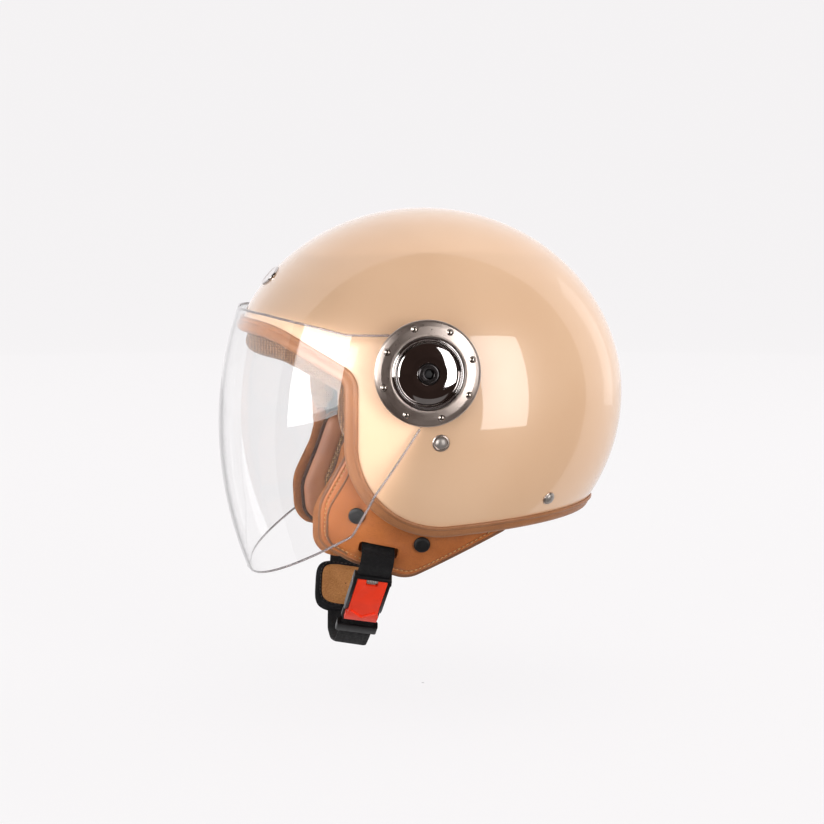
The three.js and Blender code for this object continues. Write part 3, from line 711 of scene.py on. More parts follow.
def plate_stack(side):
    origin = (0, *PIVOT)
    p = PLATE_BACK
    ring = [(p, 3.2), (p, PLATE_R), (p + 0.9, PLATE_R), (p + 1.9, PLATE_R - 1.2),
            (p + 3.0, PLATE_R - 4.4), (p + 3.6, 25.2), (p + 3.6, 23.7), (p + 2, 23.7), (p + 2, 3.2)]
    turned_piece(side, f"{side}_satin_ring", ring, 0.45, origin, SATIN, "helmet",
                 [f"{side}_side_plate"], segments=144)
    for k in range(DOTS["count"]):
        a = math.radians(DOTS["first"] + 360 / DOTS["count"] * k)
        at = (p + 2.75, PIVOT[0] + DOTS["radius"] * math.cos(a),
              PIVOT[1] + DOTS["radius"] * math.sin(a))
        dot = [(-1, 0), (-1, 2.5), (0.25, 2.5), (0.4, 2.15), (1.0, 1.7), (1.4, 0.9), (1.5, 0)]
        turned_piece(side, f"{side}_plate_dot_{k}", dot, 0.25, at, SATIN_BRIGHT, "helmet", [],
                     segments=32)
    q = p + 2.3
    step = [(q, 20.5), (q, 23.4), (q + 1.5, 23.4), (q + 2.0, 22.6), (q + 2.0, 22.0),
            (q + 2.9, 21.6), (q + 2.9, 20.8), (q + 1.6, 20.5)]
    turned_piece(side, f"{side}_chrome_step", step, 0.25, origin, CHROME, "helmet",
                 [f"{side}_step_ring"], segments=144, angle=40)
    arc = [(q + 1.0 + 3.2 * math.cos(t * math.pi / 2) ** 0.9, 20.2 * math.sin(t * math.pi / 2))
           for t in np.linspace(1, 0.37, 16)]
    dome = [(q, 7.3), (q, 20.2)] + arc + [(q + 3.3, 7.3)]
    turned_piece(side, f"{side}_chrome_dome", dome, 0.0, origin, CHROME, "helmet",
                 [f"{side}_plate_dome"], segments=144, angle=40)
    socket = [(q + 0.1, 0), (q + 0.1, 7.0), (q + 3.4, 7.0), (q + 4.5, 6.1), (q + 4.5, 3.2),
              (q + 1.6, 3.0), (q + 1.6, 0)]
    turned_piece(side, f"{side}_socket_screw", socket, 0.4, origin, DARK_STEEL, "helmet",
                 [f"{side}_pivot_screw"], segments=72)
    # Black hexagon at the bottom of the screw's recess: painted shade for the inside of its hex
    # socket.
    core = [(q + 1.5, 0), (q + 1.5, 2.7), (q + 2.4, 2.7), (q + 2.4, 0)]
    turned_piece(side, f"{side}_socket_painted_shade", core, 0.2, origin, BLACK, "helmet", [], segments=6)


def rivet(side, name, at, washer, head, node):
    point = np.array([float(side_x(SHELL, *at)), *at])
    normal = outward(SHELL, point)
    cup = [(-0.5, 0), (-0.5, washer), (0.55, washer), (0.95, washer - 0.6), (1.0, head + 0.35),
           (0.6, head + 0.1), (0.6, 0)]
    turned_piece(side, f"{name}_washer", cup, 0.2, point, SATIN, "helmet", [node], normal, 64)
    dome = [(0.5, 0), (0.5, head), (1.1, head), (1.9, head * 0.82), (2.5, head * 0.5), (2.8, 0)]
    turned_piece(side, f"{name}_head", dome, 0.5, point, STEEL, "helmet", [], normal, 64)


def stud(side, name, at):
    point = np.array([float(side_x(SKIRT, *at)), *at])
    normal = outward(SKIRT, point)
    cap = [(-0.8, 0), (-0.8, 5.3), (1.1, 5.5), (1.9, 4.9), (2.35, 3.6), (2.25, 2.4), (2.45, 1.2),
           (2.5, 0)]
    turned_piece(side, name, cap, 0.5, point, STUD, "helmet", [f"{side}_{name.split('_')[1]}_stud"],
                 normal, 64)


DARK_STEEL = metal("dark_steel", (92, 88, 88), 0.22, 0.03)
SATIN_BRIGHT = metal("polished_nickel", (196, 184, 174), 0.16, 0.02)


def make_hardware():
    for side in ("left", "right"):
        plate_stack(side)
        rivet(side, f"{side}_anchor", ANCHOR, 5.6, 3.9, f"{side}_strap_rivet")
        rivet(side, f"{side}_nape", REAR_RIVET, 4.5, 3.9, f"{side}_rear_rivet")
        for where, at in STUDS.items():
            stud(side, f"{side}_{where}_cap", at)


# Half-sizes of the badge, and the (y, z) that it is set at before it meets the shell.
BADGE = {"wide": 15.8, "high": 7.9, "at": (-103.5, 78.5)}


def make_badge():
    """A plain oval with a raised border."""
    centre = onto(SHELL, np.array([0, *BADGE["at"]]))
    normal = outward(SHELL, centre)
    up = np.cross([1, 0, 0], normal)
    rings = [(1.0, 0.1), (1.0, 1.1), (0.97, 1.45), (0.9, 1.5), (0.87, 1.2), (0.84, 1.0),
             (0.0, 1.05)]
    n = 72
    rows = []
    for scale, h in rings:
        a = np.linspace(0, 2 * math.pi, n, endpoint=False)
        p = centre + np.outer(np.cos(a) * BADGE["wide"] * scale, [1, 0, 0])
        p = p + np.outer(np.sin(a) * BADGE["high"] * scale, up)
        rows.append(onto(SHELL, p, h))
    obj = piece("blank_badge", np.concatenate(rows), grid_faces(len(rings), n, wrap_cols=True),
                CHROME, "helmet", ["front_badge"])
    weld(obj)


make_hardware()
make_badge()


# ---------- lining and comfort pads ----------
def head_level(p, off):
    a, b, c = HEAD["half"] + off, HEAD["length"] + off, DOME + off
    x, y, z = np.moveaxis(np.asarray(p, float), -1, 0)
    flat = (np.abs(x / a) ** HEAD["power"] + np.abs(y / b) ** HEAD["power"]) ** (1 / HEAD["power"])
    return np.where(z > 0, np.sqrt(flat ** 2 + (z / c) ** 2), flat)


def onto_head(p, off=0.0):
    p = np.asarray(p, float)
    return p / head_level(p, off)[..., None]


def make_lining():
    """Cloth that covers the foam from the edging's inner fold to the crown."""
    fold = rim_run(3.0, -6.4)[:RIM_COUNT]
    lip = rim_run(-1.5, -8.5)[:RIM_COUNT]
    wall = onto_head(lip, -0.25)
    a = np.linspace(math.atan2(wall[0][2], wall[0][1]), math.atan2(wall[-1][2], wall[-1][1]),
                    RIM_COUNT)
    top = onto_head(np.stack([np.zeros(RIM_COUNT), np.cos(a), np.sin(a)], -1) * 100, -0.25)
    rows = [fold, lip * 0.7 + fold * 0.3, lip]
    rows += [lip * (1 - t) + wall * t for t in (0.3, 0.6, 0.85)]
    rows += [onto_head(wall * (1 - t) + top * t, -0.25) for t in np.linspace(0, 1, 46)]
    grid = np.array(rows)
    grid[:, 0, 0] = grid[:, -1, 0] = 0
    whole = np.concatenate([grid, mirror_points(grid)[-2::-1]])
    faces = grid_faces(*whole.shape[:2])
    weld(piece("lining_cloth", whole.reshape(-1, 3), faces, LINING, "helmet"))


def pillow_patch(name, inner, outer, material, replaces, channels):
    """A padded sheet over a grid: swollen between its sewn border and channels."""
    rows, cols = inner.shape[:2]
    u = np.linspace(0, 1, rows)[:, None]
    v = np.linspace(0, 1, cols)[None, :]
    painted_edge_line = np.minimum(np.minimum(u, 1 - u) * rows, np.minimum(v, 1 - v) * cols)
    rise = 1 - np.exp(-painted_edge_line / 4.0)
    rise = rise * channels(u, v)
    span = inner - outer
    lifted = outer + span * (0.35 + 0.65 * rise)[..., None]
    verts, faces = thick_grid(lifted, outer)
    obj = piece(name, verts, faces, material, "helmet", replaces)
    return obj


def make_crown_pad():
    r = np.linspace(-1, 1, 90)
    gx, gy = np.meshgrid(r, r, indexing="ij")
    # Square grid squeezed into a rounded square cap.
    k = np.sqrt(1 - 0.42 * gy ** 2), np.sqrt(1 - 0.42 * gx ** 2)
    flat = np.stack([gx * k[0] * 62, gy * k[1] * 74, np.full_like(gx, 62.0)], -1)
    rise = 62 + 33 * (1 - np.clip(np.hypot(gx * k[0], gy * k[1]), 0, 1) ** 2)
    flat[..., 2] = rise

    def channels(u, v):
        lines = np.minimum.reduce([np.abs(u - 0.5 + 0 * v), np.abs(u - 0.22 + 0 * v),
                                   np.abs(u - 0.78 + 0 * v), np.abs(v - 0.3 + 0 * u),
                                   np.abs(v - 0.7 + 0 * u)])
        return 0.55 + 0.45 * (1 - np.exp(-(lines / 0.02) ** 2))

    pillow_patch("crown_cushion", onto_head(flat, -7.4), onto_head(flat, -0.7), MESH_CLOTH,
                 ["crown_pad"], channels)


def make_brow_pad():
    """Mesh-covered roll inside the edging, from one ear over the brow to the other."""
    line = rim_run(0, 0)[:RIM_COUNT]
    inside = (line[:, 2] > -24) & (line[:, 1] < 0)
    last = int(np.argmin(inside)) if not inside.all() else RIM_COUNT
    side = np.clip((-70 - line[:last, 1]) / 60, 0, 1)
    reach = 17.5 + 3.5 * side
    end = np.sqrt(1 - np.clip((np.arange(last) - last + 9) / 9.5, 0, 1) ** 2)
    around = 36
    rows = []
    for a in np.linspace(0, 2 * math.pi, around, endpoint=False):
        c, t = math.cos(a), math.sin(a)
        c, t = math.copysign(abs(c) ** 0.75, c), math.copysign(abs(t) ** 0.75, t)
        d = reach / 2 + 1 + (reach / 2) * c * end
        h = -19.5 + 12.0 * t * end
        p = np.array([rim_run(float(dd), float(hh))[i] for i, (dd, hh) in enumerate(zip(d, h))])
        p[0, 0] = 0
        rows.append(np.concatenate([mirror_points(p)[:0:-1], p]))
    grid = np.array(rows).transpose(1, 0, 2)
    count = grid.shape[0]
    faces = grid_faces(count, around, wrap_cols=True)
    faces += [tuple(range(at, at + around)) for at in (0, (count - 1) * around)]
    obj = piece("brow_cushion", grid.reshape(-1, 3), faces, MESH_CLOTH, "helmet", ["brow_pad"])


def make_neck_pad():
    azimuth = np.linspace(math.radians(90 - 60), math.radians(90 + 60), 130)
    heights = np.linspace(-72, -14, 50)
    a, z = np.meshgrid(azimuth, heights, indexing="ij")
    p = np.stack([np.cos(a) * 100, np.sin(a) * 100, z * 0 - 1], -1)

    def wall(off):
        q = onto_head(p, off)
        q[..., 2] = z
        return q

    def channels(u, v):
        return 0.6 + 0.4 * (1 - np.exp(-((v - 0.5) / 0.03) ** 2 + 0 * u))

    pillow_patch("neck_cushion", wall(-7.0), wall(-0.7), PAD_LEATHER, ["neck_pad"], channels)


# ---------- cheek pads ----------
CHEEK = [(-60, -22, 10), (-68, -45, 40), (-79, -72, 24), (-77, -97, 14), (-28, -110, 30),
         (34, -80, 14), (34, -14, 18)]
CHEEK_INNER = 58.0
# Rows of faces under mesh cloth, and the row where the suede of the hidden side begins.
CHEEK_MESH_ROWS = 21
CHEEK_SIDE_ROWS = 35


def closed_line(corners, count):
    run = rounded_line(corners)
    run = np.vstack([run, run[:1]])
    return along(run, count + 1)[:-1]


def shrink(line, distance):
    """Moves a closed side-view outline inwards."""
    t = np.roll(line, -1, axis=0) - np.roll(line, 1, axis=0)
    t /= np.linalg.norm(t, axis=1, keepdims=True)
    n = np.stack([t[:, 1], -t[:, 0]], -1)
    centre = line.mean(axis=0)
    if ((line + n - centre) ** 2).sum() > ((line - n - centre) ** 2).sum():
        n = -n
    return line + n * distance


def cheek_outer(y, z):
    """X of the pad's hidden outer face: inside the foam's wall and the flap."""
    power = HEAD["power"]
    wall = (1 - np.abs(y / (HEAD["length"] - 0.6)) ** power).clip(0.02) ** (1 / power)
    flap = side_x(SKIRT, y, z, -7.6)
    return np.minimum(wall * (HEAD["half"] - 0.6), np.where(z < 0, flap, 200))


def make_cheek(side):
    count = 220
    line = closed_line(CHEEK, count)
    centre = line.mean(axis=0)
    rows = []
    # From the inner face's middle, over its rolled edge, along the side wall, to the hidden face.
    for k in np.linspace(0.02, 0.86, 26):
        p = centre + (line - centre) * k
        swell = 2.2 * (1 - (k / 0.9) ** 2) - 1.5 * math.exp(-((k - 0.7) / 0.022) ** 2)
        rows.append(np.column_stack([np.full(count, CHEEK_INNER + 1.4 - swell), p]))
    for t in np.linspace(0, 1, 9)[1:]:
        a = t * math.pi / 2
        p = shrink(line, 6.5 * (1 - math.sin(a)) + 0.2)
        rows.append(np.column_stack([np.full(count, CHEEK_INNER + 7.5 - 6.0 * math.cos(a)), p]))
    painted_edge_line = shrink(line, 0.2)
    far = cheek_outer(painted_edge_line[:, 0], painted_edge_line[:, 1])
    for t in np.linspace(0, 1, 9)[1:]:
        x = (CHEEK_INNER + 7.5) * (1 - t) + (far - 2.5) * t
        bulge = 1.2 * math.sin(t * math.pi) - 0.2
        p = shrink(line, 0.4 - bulge * 0.3)
        rows.append(np.column_stack([x, p]))
    for k in np.linspace(0.97, 0.02, 16):
        p = centre + (line - centre) * k
        rows.append(np.column_stack([cheek_outer(p[:, 0], p[:, 1]), p]))
    verts = np.concatenate(rows)
    verts = on_side(verts, side)
    obj = piece(f"{side}_cheek_cushion", verts, grid_faces(len(rows), count, wrap_cols=True),
                PAD_LEATHER, "helmet", [f"{side}_cheek_pad"])
    obj.data.materials.append(MESH_CLOTH)
    obj.data.materials.append(SUEDE)
    for i, p in enumerate(obj.data.polygons):
        row = i // count
        if row < CHEEK_MESH_ROWS:
            p.material_index = 1
        elif row >= CHEEK_SIDE_ROWS:
            p.material_index = 2
    weld(obj)
    welt = np.column_stack([np.full(count, CHEEK_INNER + 5.6), shrink(line, 0.7)])
    tube(f"{side}_cheek_welt", welt, 1.7, BINDING, "helmet", side, closed=True)
    seam = centre + (line - centre) * 0.7
    stitches(f"{side}_cheek_seam", np.column_stack([np.full(count, CHEEK_INNER + 1.2), seam]), side,
             (-1, 0, 0), 3.4, 0.35, THREAD, "helmet")


def frames_along(path, closed=False):
    nxt, prv = np.roll(path, -1, axis=0), np.roll(path, 1, axis=0)
    if not closed:
        nxt[-1], prv[0] = path[-1], path[0]
    t = nxt - prv
    return t / np.linalg.norm(t, axis=1, keepdims=True)


def tube(name, path, radius, material, body, side="left", closed=False, around=14, lean=(1, 0, 0)):
    """A round bar along the path; `lean` is a direction that the path never runs along."""
    t = frames_along(path, closed)
    ref = np.broadcast_to(lean, path.shape).astype(float)
    a = np.cross(t, ref)
    a /= np.linalg.norm(a, axis=1, keepdims=True)
    b = np.cross(t, a)
    rows = [path + radius * (math.cos(k) * a + math.sin(k) * b)
            for k in np.linspace(0, 2 * math.pi, around, endpoint=False)]
    verts = np.array(rows)
    n = len(path)
    faces = grid_faces(around, n, wrap_cols=closed, wrap_rows=True)
    if not closed:
        faces += [tuple(k * n + at for k in range(around)) for at in (0, n - 1)]
    verts = verts.reshape(-1, 3)
    verts = on_side(verts, side)
    return piece(name, verts, faces, material, body)


def stitches(name, path, side, out, pitch, radius, material, body, fill=0.62):
    """A run of thread stitches lying on a seam; `out` is the way the seam faces."""
    step, cuts, sides = 0.25, 7, 6
    run = along(path, step=step)
    length = step * (len(run) - 1)
    verts, faces = [], []
    out = np.asarray(out, float)
    for k in range(int(length / pitch)):
        i = int(k * pitch / step)
        j = min(len(run) - 1, int((k + fill) * pitch / step))
        if j - i < 3:
            continue
        core = run[np.linspace(i, j, cuts).astype(int)]
        t = frames_along(core)
        a = np.cross(t, out)
        a /= np.linalg.norm(a, axis=1, keepdims=True)
        rise = np.sin(np.linspace(0, math.pi, cuts))[:, None] * radius * 0.9
        core = core + out * rise
        start = len(verts) * cuts * sides
        ring = []
        for q, (c, tt, aa) in enumerate(zip(core, t, a)):
            thin = radius * (0.45 + 0.55 * math.sin(math.pi * (q + 0.35) / 6.7))
            bb = np.cross(tt, aa)
            for m in range(sides):
                w = 2 * math.pi * m / sides
                ring.append(c + thin * (math.cos(w) * aa + math.sin(w) * bb))
        verts.append(np.array(ring))
        faces += grid_faces(cuts, sides, wrap_cols=True, start=start)
        faces += [tuple(range(at, at + sides)) for at in (start, start + (cuts - 1) * sides)]
    verts = np.concatenate(verts)
    verts = on_side(verts, side)
    return piece(name, verts, faces, material, body)


# ---------- leather flaps ----------
FLAP = [(-60, -26, 6), (-80, -66, 30), (-80, -93, 14), (-58, -105, 14), (-22, -117, 18),
        (42, -84, 3), (42, -70, 0)]
SLOT_TILT = math.radians(-12)
SLOT_Z = -97.0


def flap_height(y, z, along_edge):
    """How far the leather stands off its plain surface, in millimetres."""
    h = 1.1 * (1 - np.exp(-along_edge / 5.0)) - 0.3
    h += -0.8 * np.exp(-((along_edge - 3.6) / 0.7) ** 2)
    for at in STUDS.values():
        d = np.hypot(y - at[0], z - at[1])
        h += -1.0 * np.exp(-(d / 8.5) ** 2)
    slot = np.hypot((y - EXIT[1]) / 16, (z - SLOT_Z + 5) / 9)
    h += 0.9 * np.exp(-((slot - 1.0) / 0.35) ** 2)
    h += 0.35 * np.sin(y * 0.13 + z * 0.05) * np.sin(z * 0.11 - 0.6)
    return h


def make_flap(side):
    rim = along(rounded_line(RIM), step=0.25)
    t = np.gradient(rim, axis=0)
    t /= np.linalg.norm(t, axis=1, keepdims=True)
    top = rim + np.stack([t[:, 1], -t[:, 0]], -1) * 2.0
    keep = (top[:, 1] < -28) & (top[:, 0] < 41.5)
    cols, rows = 230, 70
    top = along(top[keep], cols)
    low = along(rounded_line(FLAP)[:-1], cols)
    s = np.linspace(0, 1, rows) ** 0.9
    grid = top[None] * (1 - s[:, None, None]) + low[None] * s[:, None, None]
    # The last rows roll over the free edge.
    gap = np.linalg.norm(low - top, axis=1)[None, :] * (1 - s)[:, None]
    y, z = grid[..., 0], grid[..., 1]
    h = flap_height(y, z, gap)
    roll = np.clip(gap / 1.7, 0, 1)
    half = 1.75
    base = side_x(SKIRT, y, z) - half
    rounding = half * np.sqrt(1 - (1 - roll) ** 2)
    outer = np.stack([base + rounding + h * roll, y, z], -1)
    inner = np.stack([base - rounding, y, z], -1)
    verts, faces = thick_grid(outer, inner)
    verts = on_side(verts, side)
    obj = piece(f"{side}_leather_flap", verts, faces, LEATHER, "helmet", [f"{side}_cheek_skirt"])
    weld(obj)
    cut_slot(obj, side)
    seam = low + (top - low) / np.linalg.norm(top - low, axis=1, keepdims=True) * 3.6
    sx = side_x(SKIRT, seam[:, 0], seam[:, 1]) - 0.1
    path = np.column_stack([sx, seam])[12:-4]
    stitches(f"{side}_flap_seam", path, side, (1, 0, 0), 3.2, 0.42, THREAD, "helmet")
    painted_edge_line = np.column_stack([side_x(SKIRT, low[:, 0], low[:, 1]) - half, low])
    tube(f"{side}_flap_edge", painted_edge_line[2:-2], 1.55, EDGE_DARK, "helmet", side)


def front_roll(side):
    """Suede strip and piping down the front edge of a flap."""
    run = along(rounded_line([(-60, -20, 0), (-66, -44, 40), (-80, -70, 26), (-79.5, -93, 12),
                              (-66, -102, 0)]), step=1.2)
    x = side_x(SKIRT, run[:, 0], run[:, 1]) - 3.0
    path = np.column_stack([x, run])
    t = frames_along(path)
    out = outward(SKIRT, path)
    across = np.cross(out, t)
    n = len(path)
    around = 20
    fade = np.sqrt(np.clip(np.minimum(np.arange(n), np.arange(n)[::-1]) / 7.0, 0.02, 1))[:, None]
    rows = []
    for a in np.linspace(0, 2 * math.pi, around, endpoint=False):
        rows.append(path + across * 4.6 * math.cos(a) * fade + out * 2.6 * math.sin(a) * fade)
    verts = np.array(rows).reshape(-1, 3)
    faces = grid_faces(around, n, wrap_rows=True)
    faces += [tuple(k * n + at for k in range(around)) for at in (0, n - 1)]
    verts = on_side(verts, side)
    obj = piece(f"{side}_front_roll", verts, faces, SUEDE, "helmet")
    inner = along(rounded_line([(-57.5, -26, 0), (-62, -46, 40), (-75.3, -70, 26), (-75.0, -92, 12),
                                (-62, -100.4, 0)]), step=1.2)
    x = side_x(SKIRT, inner[:, 0], inner[:, 1]) + 0.35
    tube(f"{side}_front_piping", np.column_stack([x, inner]), 0.75, EDGE_DARK, "helmet", side,
         around=8)


def cut_slot(obj, side):
    """The webbing's slot, as a tilted rounded opening through the leather."""
    half_wide, half_high, corner = 13.2, 3.6, 2.4
    outline = rounded_profile(rectangle(-half_wide, half_wide, -half_high, half_high), corner, 6)
    c, s = math.cos(SLOT_TILT), math.sin(SLOT_TILT)
    sign = -1 if side == "right" else 1

    def through(a, b, x):
        return (sign * x, EXIT[1] + a * c - b * s, SLOT_Z + a * s + b * c)

    carve(obj, prism("slot_cutter", outline, through, 60, 110, LEATHER, None))
    sharp_by_angle(obj, 50)


# ---------- webbing ----------
def ribbon(name, path, wide, replaces):
    """Flat webbing along a path; `wide` points across it. UV is in millimetres."""
    pitch = 0.8
    path = along(path, step=pitch)
    t = frames_along(path)
    wide = np.tile(wide, (len(path), 1))
    w = wide - (wide * t).sum(1, keepdims=True) * t
    w /= np.linalg.norm(w, axis=1, keepdims=True)
    n = np.cross(t, w)
    half, th = WEB_W / 2, WEB_T / 2
    section = []
    for a in np.linspace(-1, 1, 15):
        swell = 1.0 + 0.12 * (abs(a) > 0.86) - 0.55 * (abs(a) > 0.99)
        section.append((a * half, th * swell))
    section += [(a, -b) for a, b in reversed(section)]
    rows = np.array([path + w * a + n * b for a, b in section])
    around, count = len(section), len(path)
    verts = rows.reshape(-1, 3)
    faces = grid_faces(around, count, wrap_rows=True)
    ends = [tuple(k * count + at for k in range(around)) for at in (0, count - 1)]
    obj = piece(name, verts, faces + ends, WEBBING, None, replaces)
    layer = obj.data.uv_layers.new(name="UVMap")
    for loop in obj.data.loops:
        k, j = divmod(loop.vertex_index, count)
        layer.data[loop.index].uv = (j * pitch, section[k][0] + half)
    sharp_by_angle(obj, 60)
    return obj


WIDE = np.array([0, math.cos(LOOP_LEAN), -math.sin(LOOP_LEAN)])
DOWN = np.array([0, -math.sin(LOOP_LEAN), -math.cos(LOOP_LEAN)])


def loop_point(x, d, w=0.0):
    return np.array([x, EXIT[1], EXIT[2]]) + DOWN * d + WIDE * w


def leg_point(s, n=0.0, w=0.0, side=1):
    """A point on a leg of the strap: `s` down it, `n` out from it, `w` across it."""
    x = LEG_START[0] - math.cos(LEG_SLOPE) * s + math.sin(LEG_SLOPE) * n
    d = LEG_START[1] + math.sin(LEG_SLOPE) * s + math.cos(LEG_SLOPE) * n
    return loop_point(side * x, d, w)


def smooth_path(points, radius=6.0, step=0.6):
    """Rounds the corners of a 3-D run."""
    points = [np.asarray(p, float) for p in points]
    out = [points[0]]
    for a, p, b in zip(points, points[1:], points[2:]):
        u, v = a - p, b - p
        r = min(radius, 0.45 * np.linalg.norm(u), 0.45 * np.linalg.norm(v))
        u, v = u / np.linalg.norm(u) * r, v / np.linalg.norm(v) * r
        out += [p + u * (1 - t) ** 2 + v * t ** 2 for t in np.linspace(0, 1, 7)]
    out.append(points[-1])
    return along(out, step=step)


def make_webbing():
    top_x = float(side_x(SHELL, *ANCHOR)) - SHELL_T - 4.4
    upper = [(top_x, *ANCHOR), (85.4, -29, -60), (82.2, -35, -76), (79.4, -41, -91),
             (83.4, EXIT[1], EXIT[2] - 0.4)]
    near = upper + [loop_point(88.6, 3.0), loop_point(88.8, 7.5), loop_point(87.2, 11.5),
                    leg_point(1.5), leg_point(3.6)]
    far = [leg_point(53.2, -1.3), leg_point(57), leg_point(72), leg_point(78, -1),
           loop_point(22, 75.5), loop_point(0, 78), loop_point(-22, 75.5),
           leg_point(78, -1, side=-1), leg_point(72, side=-1), leg_point(1.5, side=-1)]
    mirror = [np.array([-p[0], p[1], p[2]]) for p in near[:-2]]
    lean = math.radians(10)
    wide = np.array([0, math.cos(lean), -math.sin(lean)])
    strips = [("buckle_webbing", near, ["left_upper_webbing", "left_strap"]),
              ("chin_webbing", far + mirror[::-1], ["right_upper_webbing", "right_strap"])]
    for name, path, nodes in strips:
        strip = ribbon(name, smooth_path(path), wide, nodes)
        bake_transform(strip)


# ---------- buckle and chin pad ----------
HOUSING = {"from": 4, "to": 42, "width": 25, "low": -4, "high": 3.6}
PIN = {"s": 8.5, "n": 1.4, "r": 1.4}
LEVER_REST = 50
TONGUE_TOP = 17
KEEPER = (59, 66)
CHIN_PAD = {"middle": 49, "long": 21, "wide": 21}
CHIN_SUEDE_ROWS = 19


def prism(name, outline, place, low, high, material, body, replaces=()):
    """Pushes an outline between two levels; `place(a, b, level)` gives its points."""
    verts = [place(a, b, level) for level in (low, high) for a, b in outline]
    n = len(outline)
    faces = grid_faces(2, n, wrap_cols=True) + [tuple(range(n)), tuple(range(n, 2 * n))]
    return piece(name, np.array(verts), faces, material, body, replaces)


def side_view(s, n, w):
    return leg_point(s, n, w)


def face_view(s, w, n):
    return leg_point(s, n, w)


def rectangle(a0, a1, b0, b1):
    return [(a0, b0), (a1, b0), (a1, b1), (a0, b1)]


def leg_solid(name, outline, width, material, body, replaces=()):
    return prism(name, outline, side_view, -width / 2, width / 2, material, body, replaces)


def carve(obj, cutter):
    apply(obj, "BOOLEAN", operation="DIFFERENCE", object=cutter, solver="EXACT")
    bpy.data.objects.remove(cutter)


def soften_edges(obj, width, segments=3):
    apply(obj, "BEVEL", width=width * MM, segments=segments, limit_method="ANGLE",
          angle_limit=math.radians(35), harden_normals=False)
    sharp_by_angle(obj, 40)


def make_housing():
    h = HOUSING
    side = [(h["from"], -2.4), (h["from"] + 1.6, h["low"]), (h["to"] - 3, h["low"]),
            (h["to"], -2.6), (h["to"], 2.2), (h["to"] - 5, h["high"]),
            (h["from"] + 2, h["high"]), (h["from"], 2.2)]
    body = leg_solid("housing_shell", side, h["width"], BLACK, "strap_loop", ["buckle_housing"])
    carve(body, leg_solid("cut_a", rectangle(h["from"] + 1.5, h["to"] + 2, -0.9, h["high"] + 2),
                          h["width"] - 4, BLACK, "strap_loop"))
    carve(body, leg_solid("cut_b", rectangle(TONGUE_TOP - 1, h["to"] + 2, -2.7, 0),
                          h["width"] - 6, BLACK, "strap_loop"))
    soften_edges(body, 0.5)
    for w in (-1, 1):
        boss = [(PIN["s"] + 2.3 * math.cos(a), PIN["n"] + 2.3 * math.sin(a))
                for a in np.linspace(0, 2 * math.pi, 24, endpoint=False)]
        at = w * h["width"] / 2
        end = "rear" if w > 0 else "front"
        cap = prism(f"pin_boss_{end}", boss, side_view, at - 0.2, at + w * 0.5, DARK_STEEL,
                    "strap_loop")
        soften_edges(cap, 0.2, 2)


def make_pin_and_spring():
    run = np.array([leg_point(PIN["s"], PIN["n"], w) for w in np.linspace(-12.2, 12.2, 9)])
    pin = tube("hinge_pin", run, PIN["r"], STEEL, "strap_loop")
    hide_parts("lever_pin")
    coil = []
    for t in np.linspace(0, 1, 120):
        a = t * 2 * math.pi * 5
        coil.append(leg_point(PIN["s"] + 1.85 * math.cos(a), PIN["n"] + 1.85 * math.sin(a),
                              -2.9 + 5.8 * t))
    spring = tube("return_spring", np.array(coil), 0.4, STEEL, "strap_loop", around=8)
    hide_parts("lever_spring")


def make_lever():
    top, rest = PIN["s"] - 2, LEVER_REST
    side = [(top, 1.2), (top + 0.8, 0.4), (rest - 9, 0.4), (rest - 6.5, 0.9), (rest, 0.9),
            (rest, 4.4), (rest - 1, 5.0), (rest - 13, 4.7), (rest - 17, 3.9), (top + 1.6, 3.9),
            (top, 2.8)]
    lever = leg_solid("lever_body", side, HOUSING["width"] - 3, RED, "lever_body",
                      ["release_lever"])
    waist, wide = 10.1, 12
    end = HOUSING["to"]
    for w in (-1, 1):
        strip = [(top - 3, w * waist), (end + 0.8, w * waist), (end + 2.4, w * wide),
                 (end + 2.4, w * (wide + 4)), (top - 3, w * (wide + 4))]
        carve(lever, prism("cut_side", strip, face_view, -4, 9, RED, "lever_body"))
    notch = rounded_profile(rectangle(top - 3, PIN["s"] + 2.6, -4, 4), 1.2, 4)
    carve(lever, prism("cut_notch", notch, face_view, -4, 9, RED, "lever_body"))
    run = np.array([leg_point(PIN["s"], PIN["n"], w) for w in np.linspace(-14, 14, 5)])
    carve(lever, tube("cut_bore", run, PIN["r"] + 0.2, RED, "lever_body", around=24))
    soften_edges(lever, 0.55)
    arm = 2.1
    chevron = [(rest - 11.5, -8.2), (rest - 5.5, 0), (rest - 11.5, 8.2),
               (rest - 11.5 + arm, 8.9), (rest - 5.5 + arm * 1.25, 0), (rest - 11.5 + arm, -8.9)]
    grip = prism("lever_chevron", chevron, face_view, 4.4, 5.75, RED, "lever_body")
    soften_edges(grip, 0.35)


def make_tongue():
    top = TONGUE_TOP
    side = [(top, -2.3), (top + 32, -2.3), (top + 32, -1)]
    for k in range(7, -1, -1):
        at = top + 4 + 2.6 * k
        side += [(at + 2.6, -1), (at, -0.35)]
    side.append((top, -1))
    blade = leg_solid("tongue_blade", side, HOUSING["width"] - 7.5, STEEL, "strap_loop",
                      ["buckle_tongue"])
    soften_edges(blade, 0.12, 2)
    h = HOUSING["to"]
    plate = rounded_profile(rectangle(h + 1, h + 13, -12.5, 12.5), 2.5, 6)
    head = prism("tongue_head", plate, face_view, -2.3, -0.3, BLACK, "strap_loop")
    slot = rounded_profile(rectangle(h + 7, h + 10.5, -11.3, 11.3), 0.8, 4)
    carve(head, prism("cut_slot", slot, face_view, -6, 4, BLACK, "strap_loop"))
    soften_edges(head, 0.3)


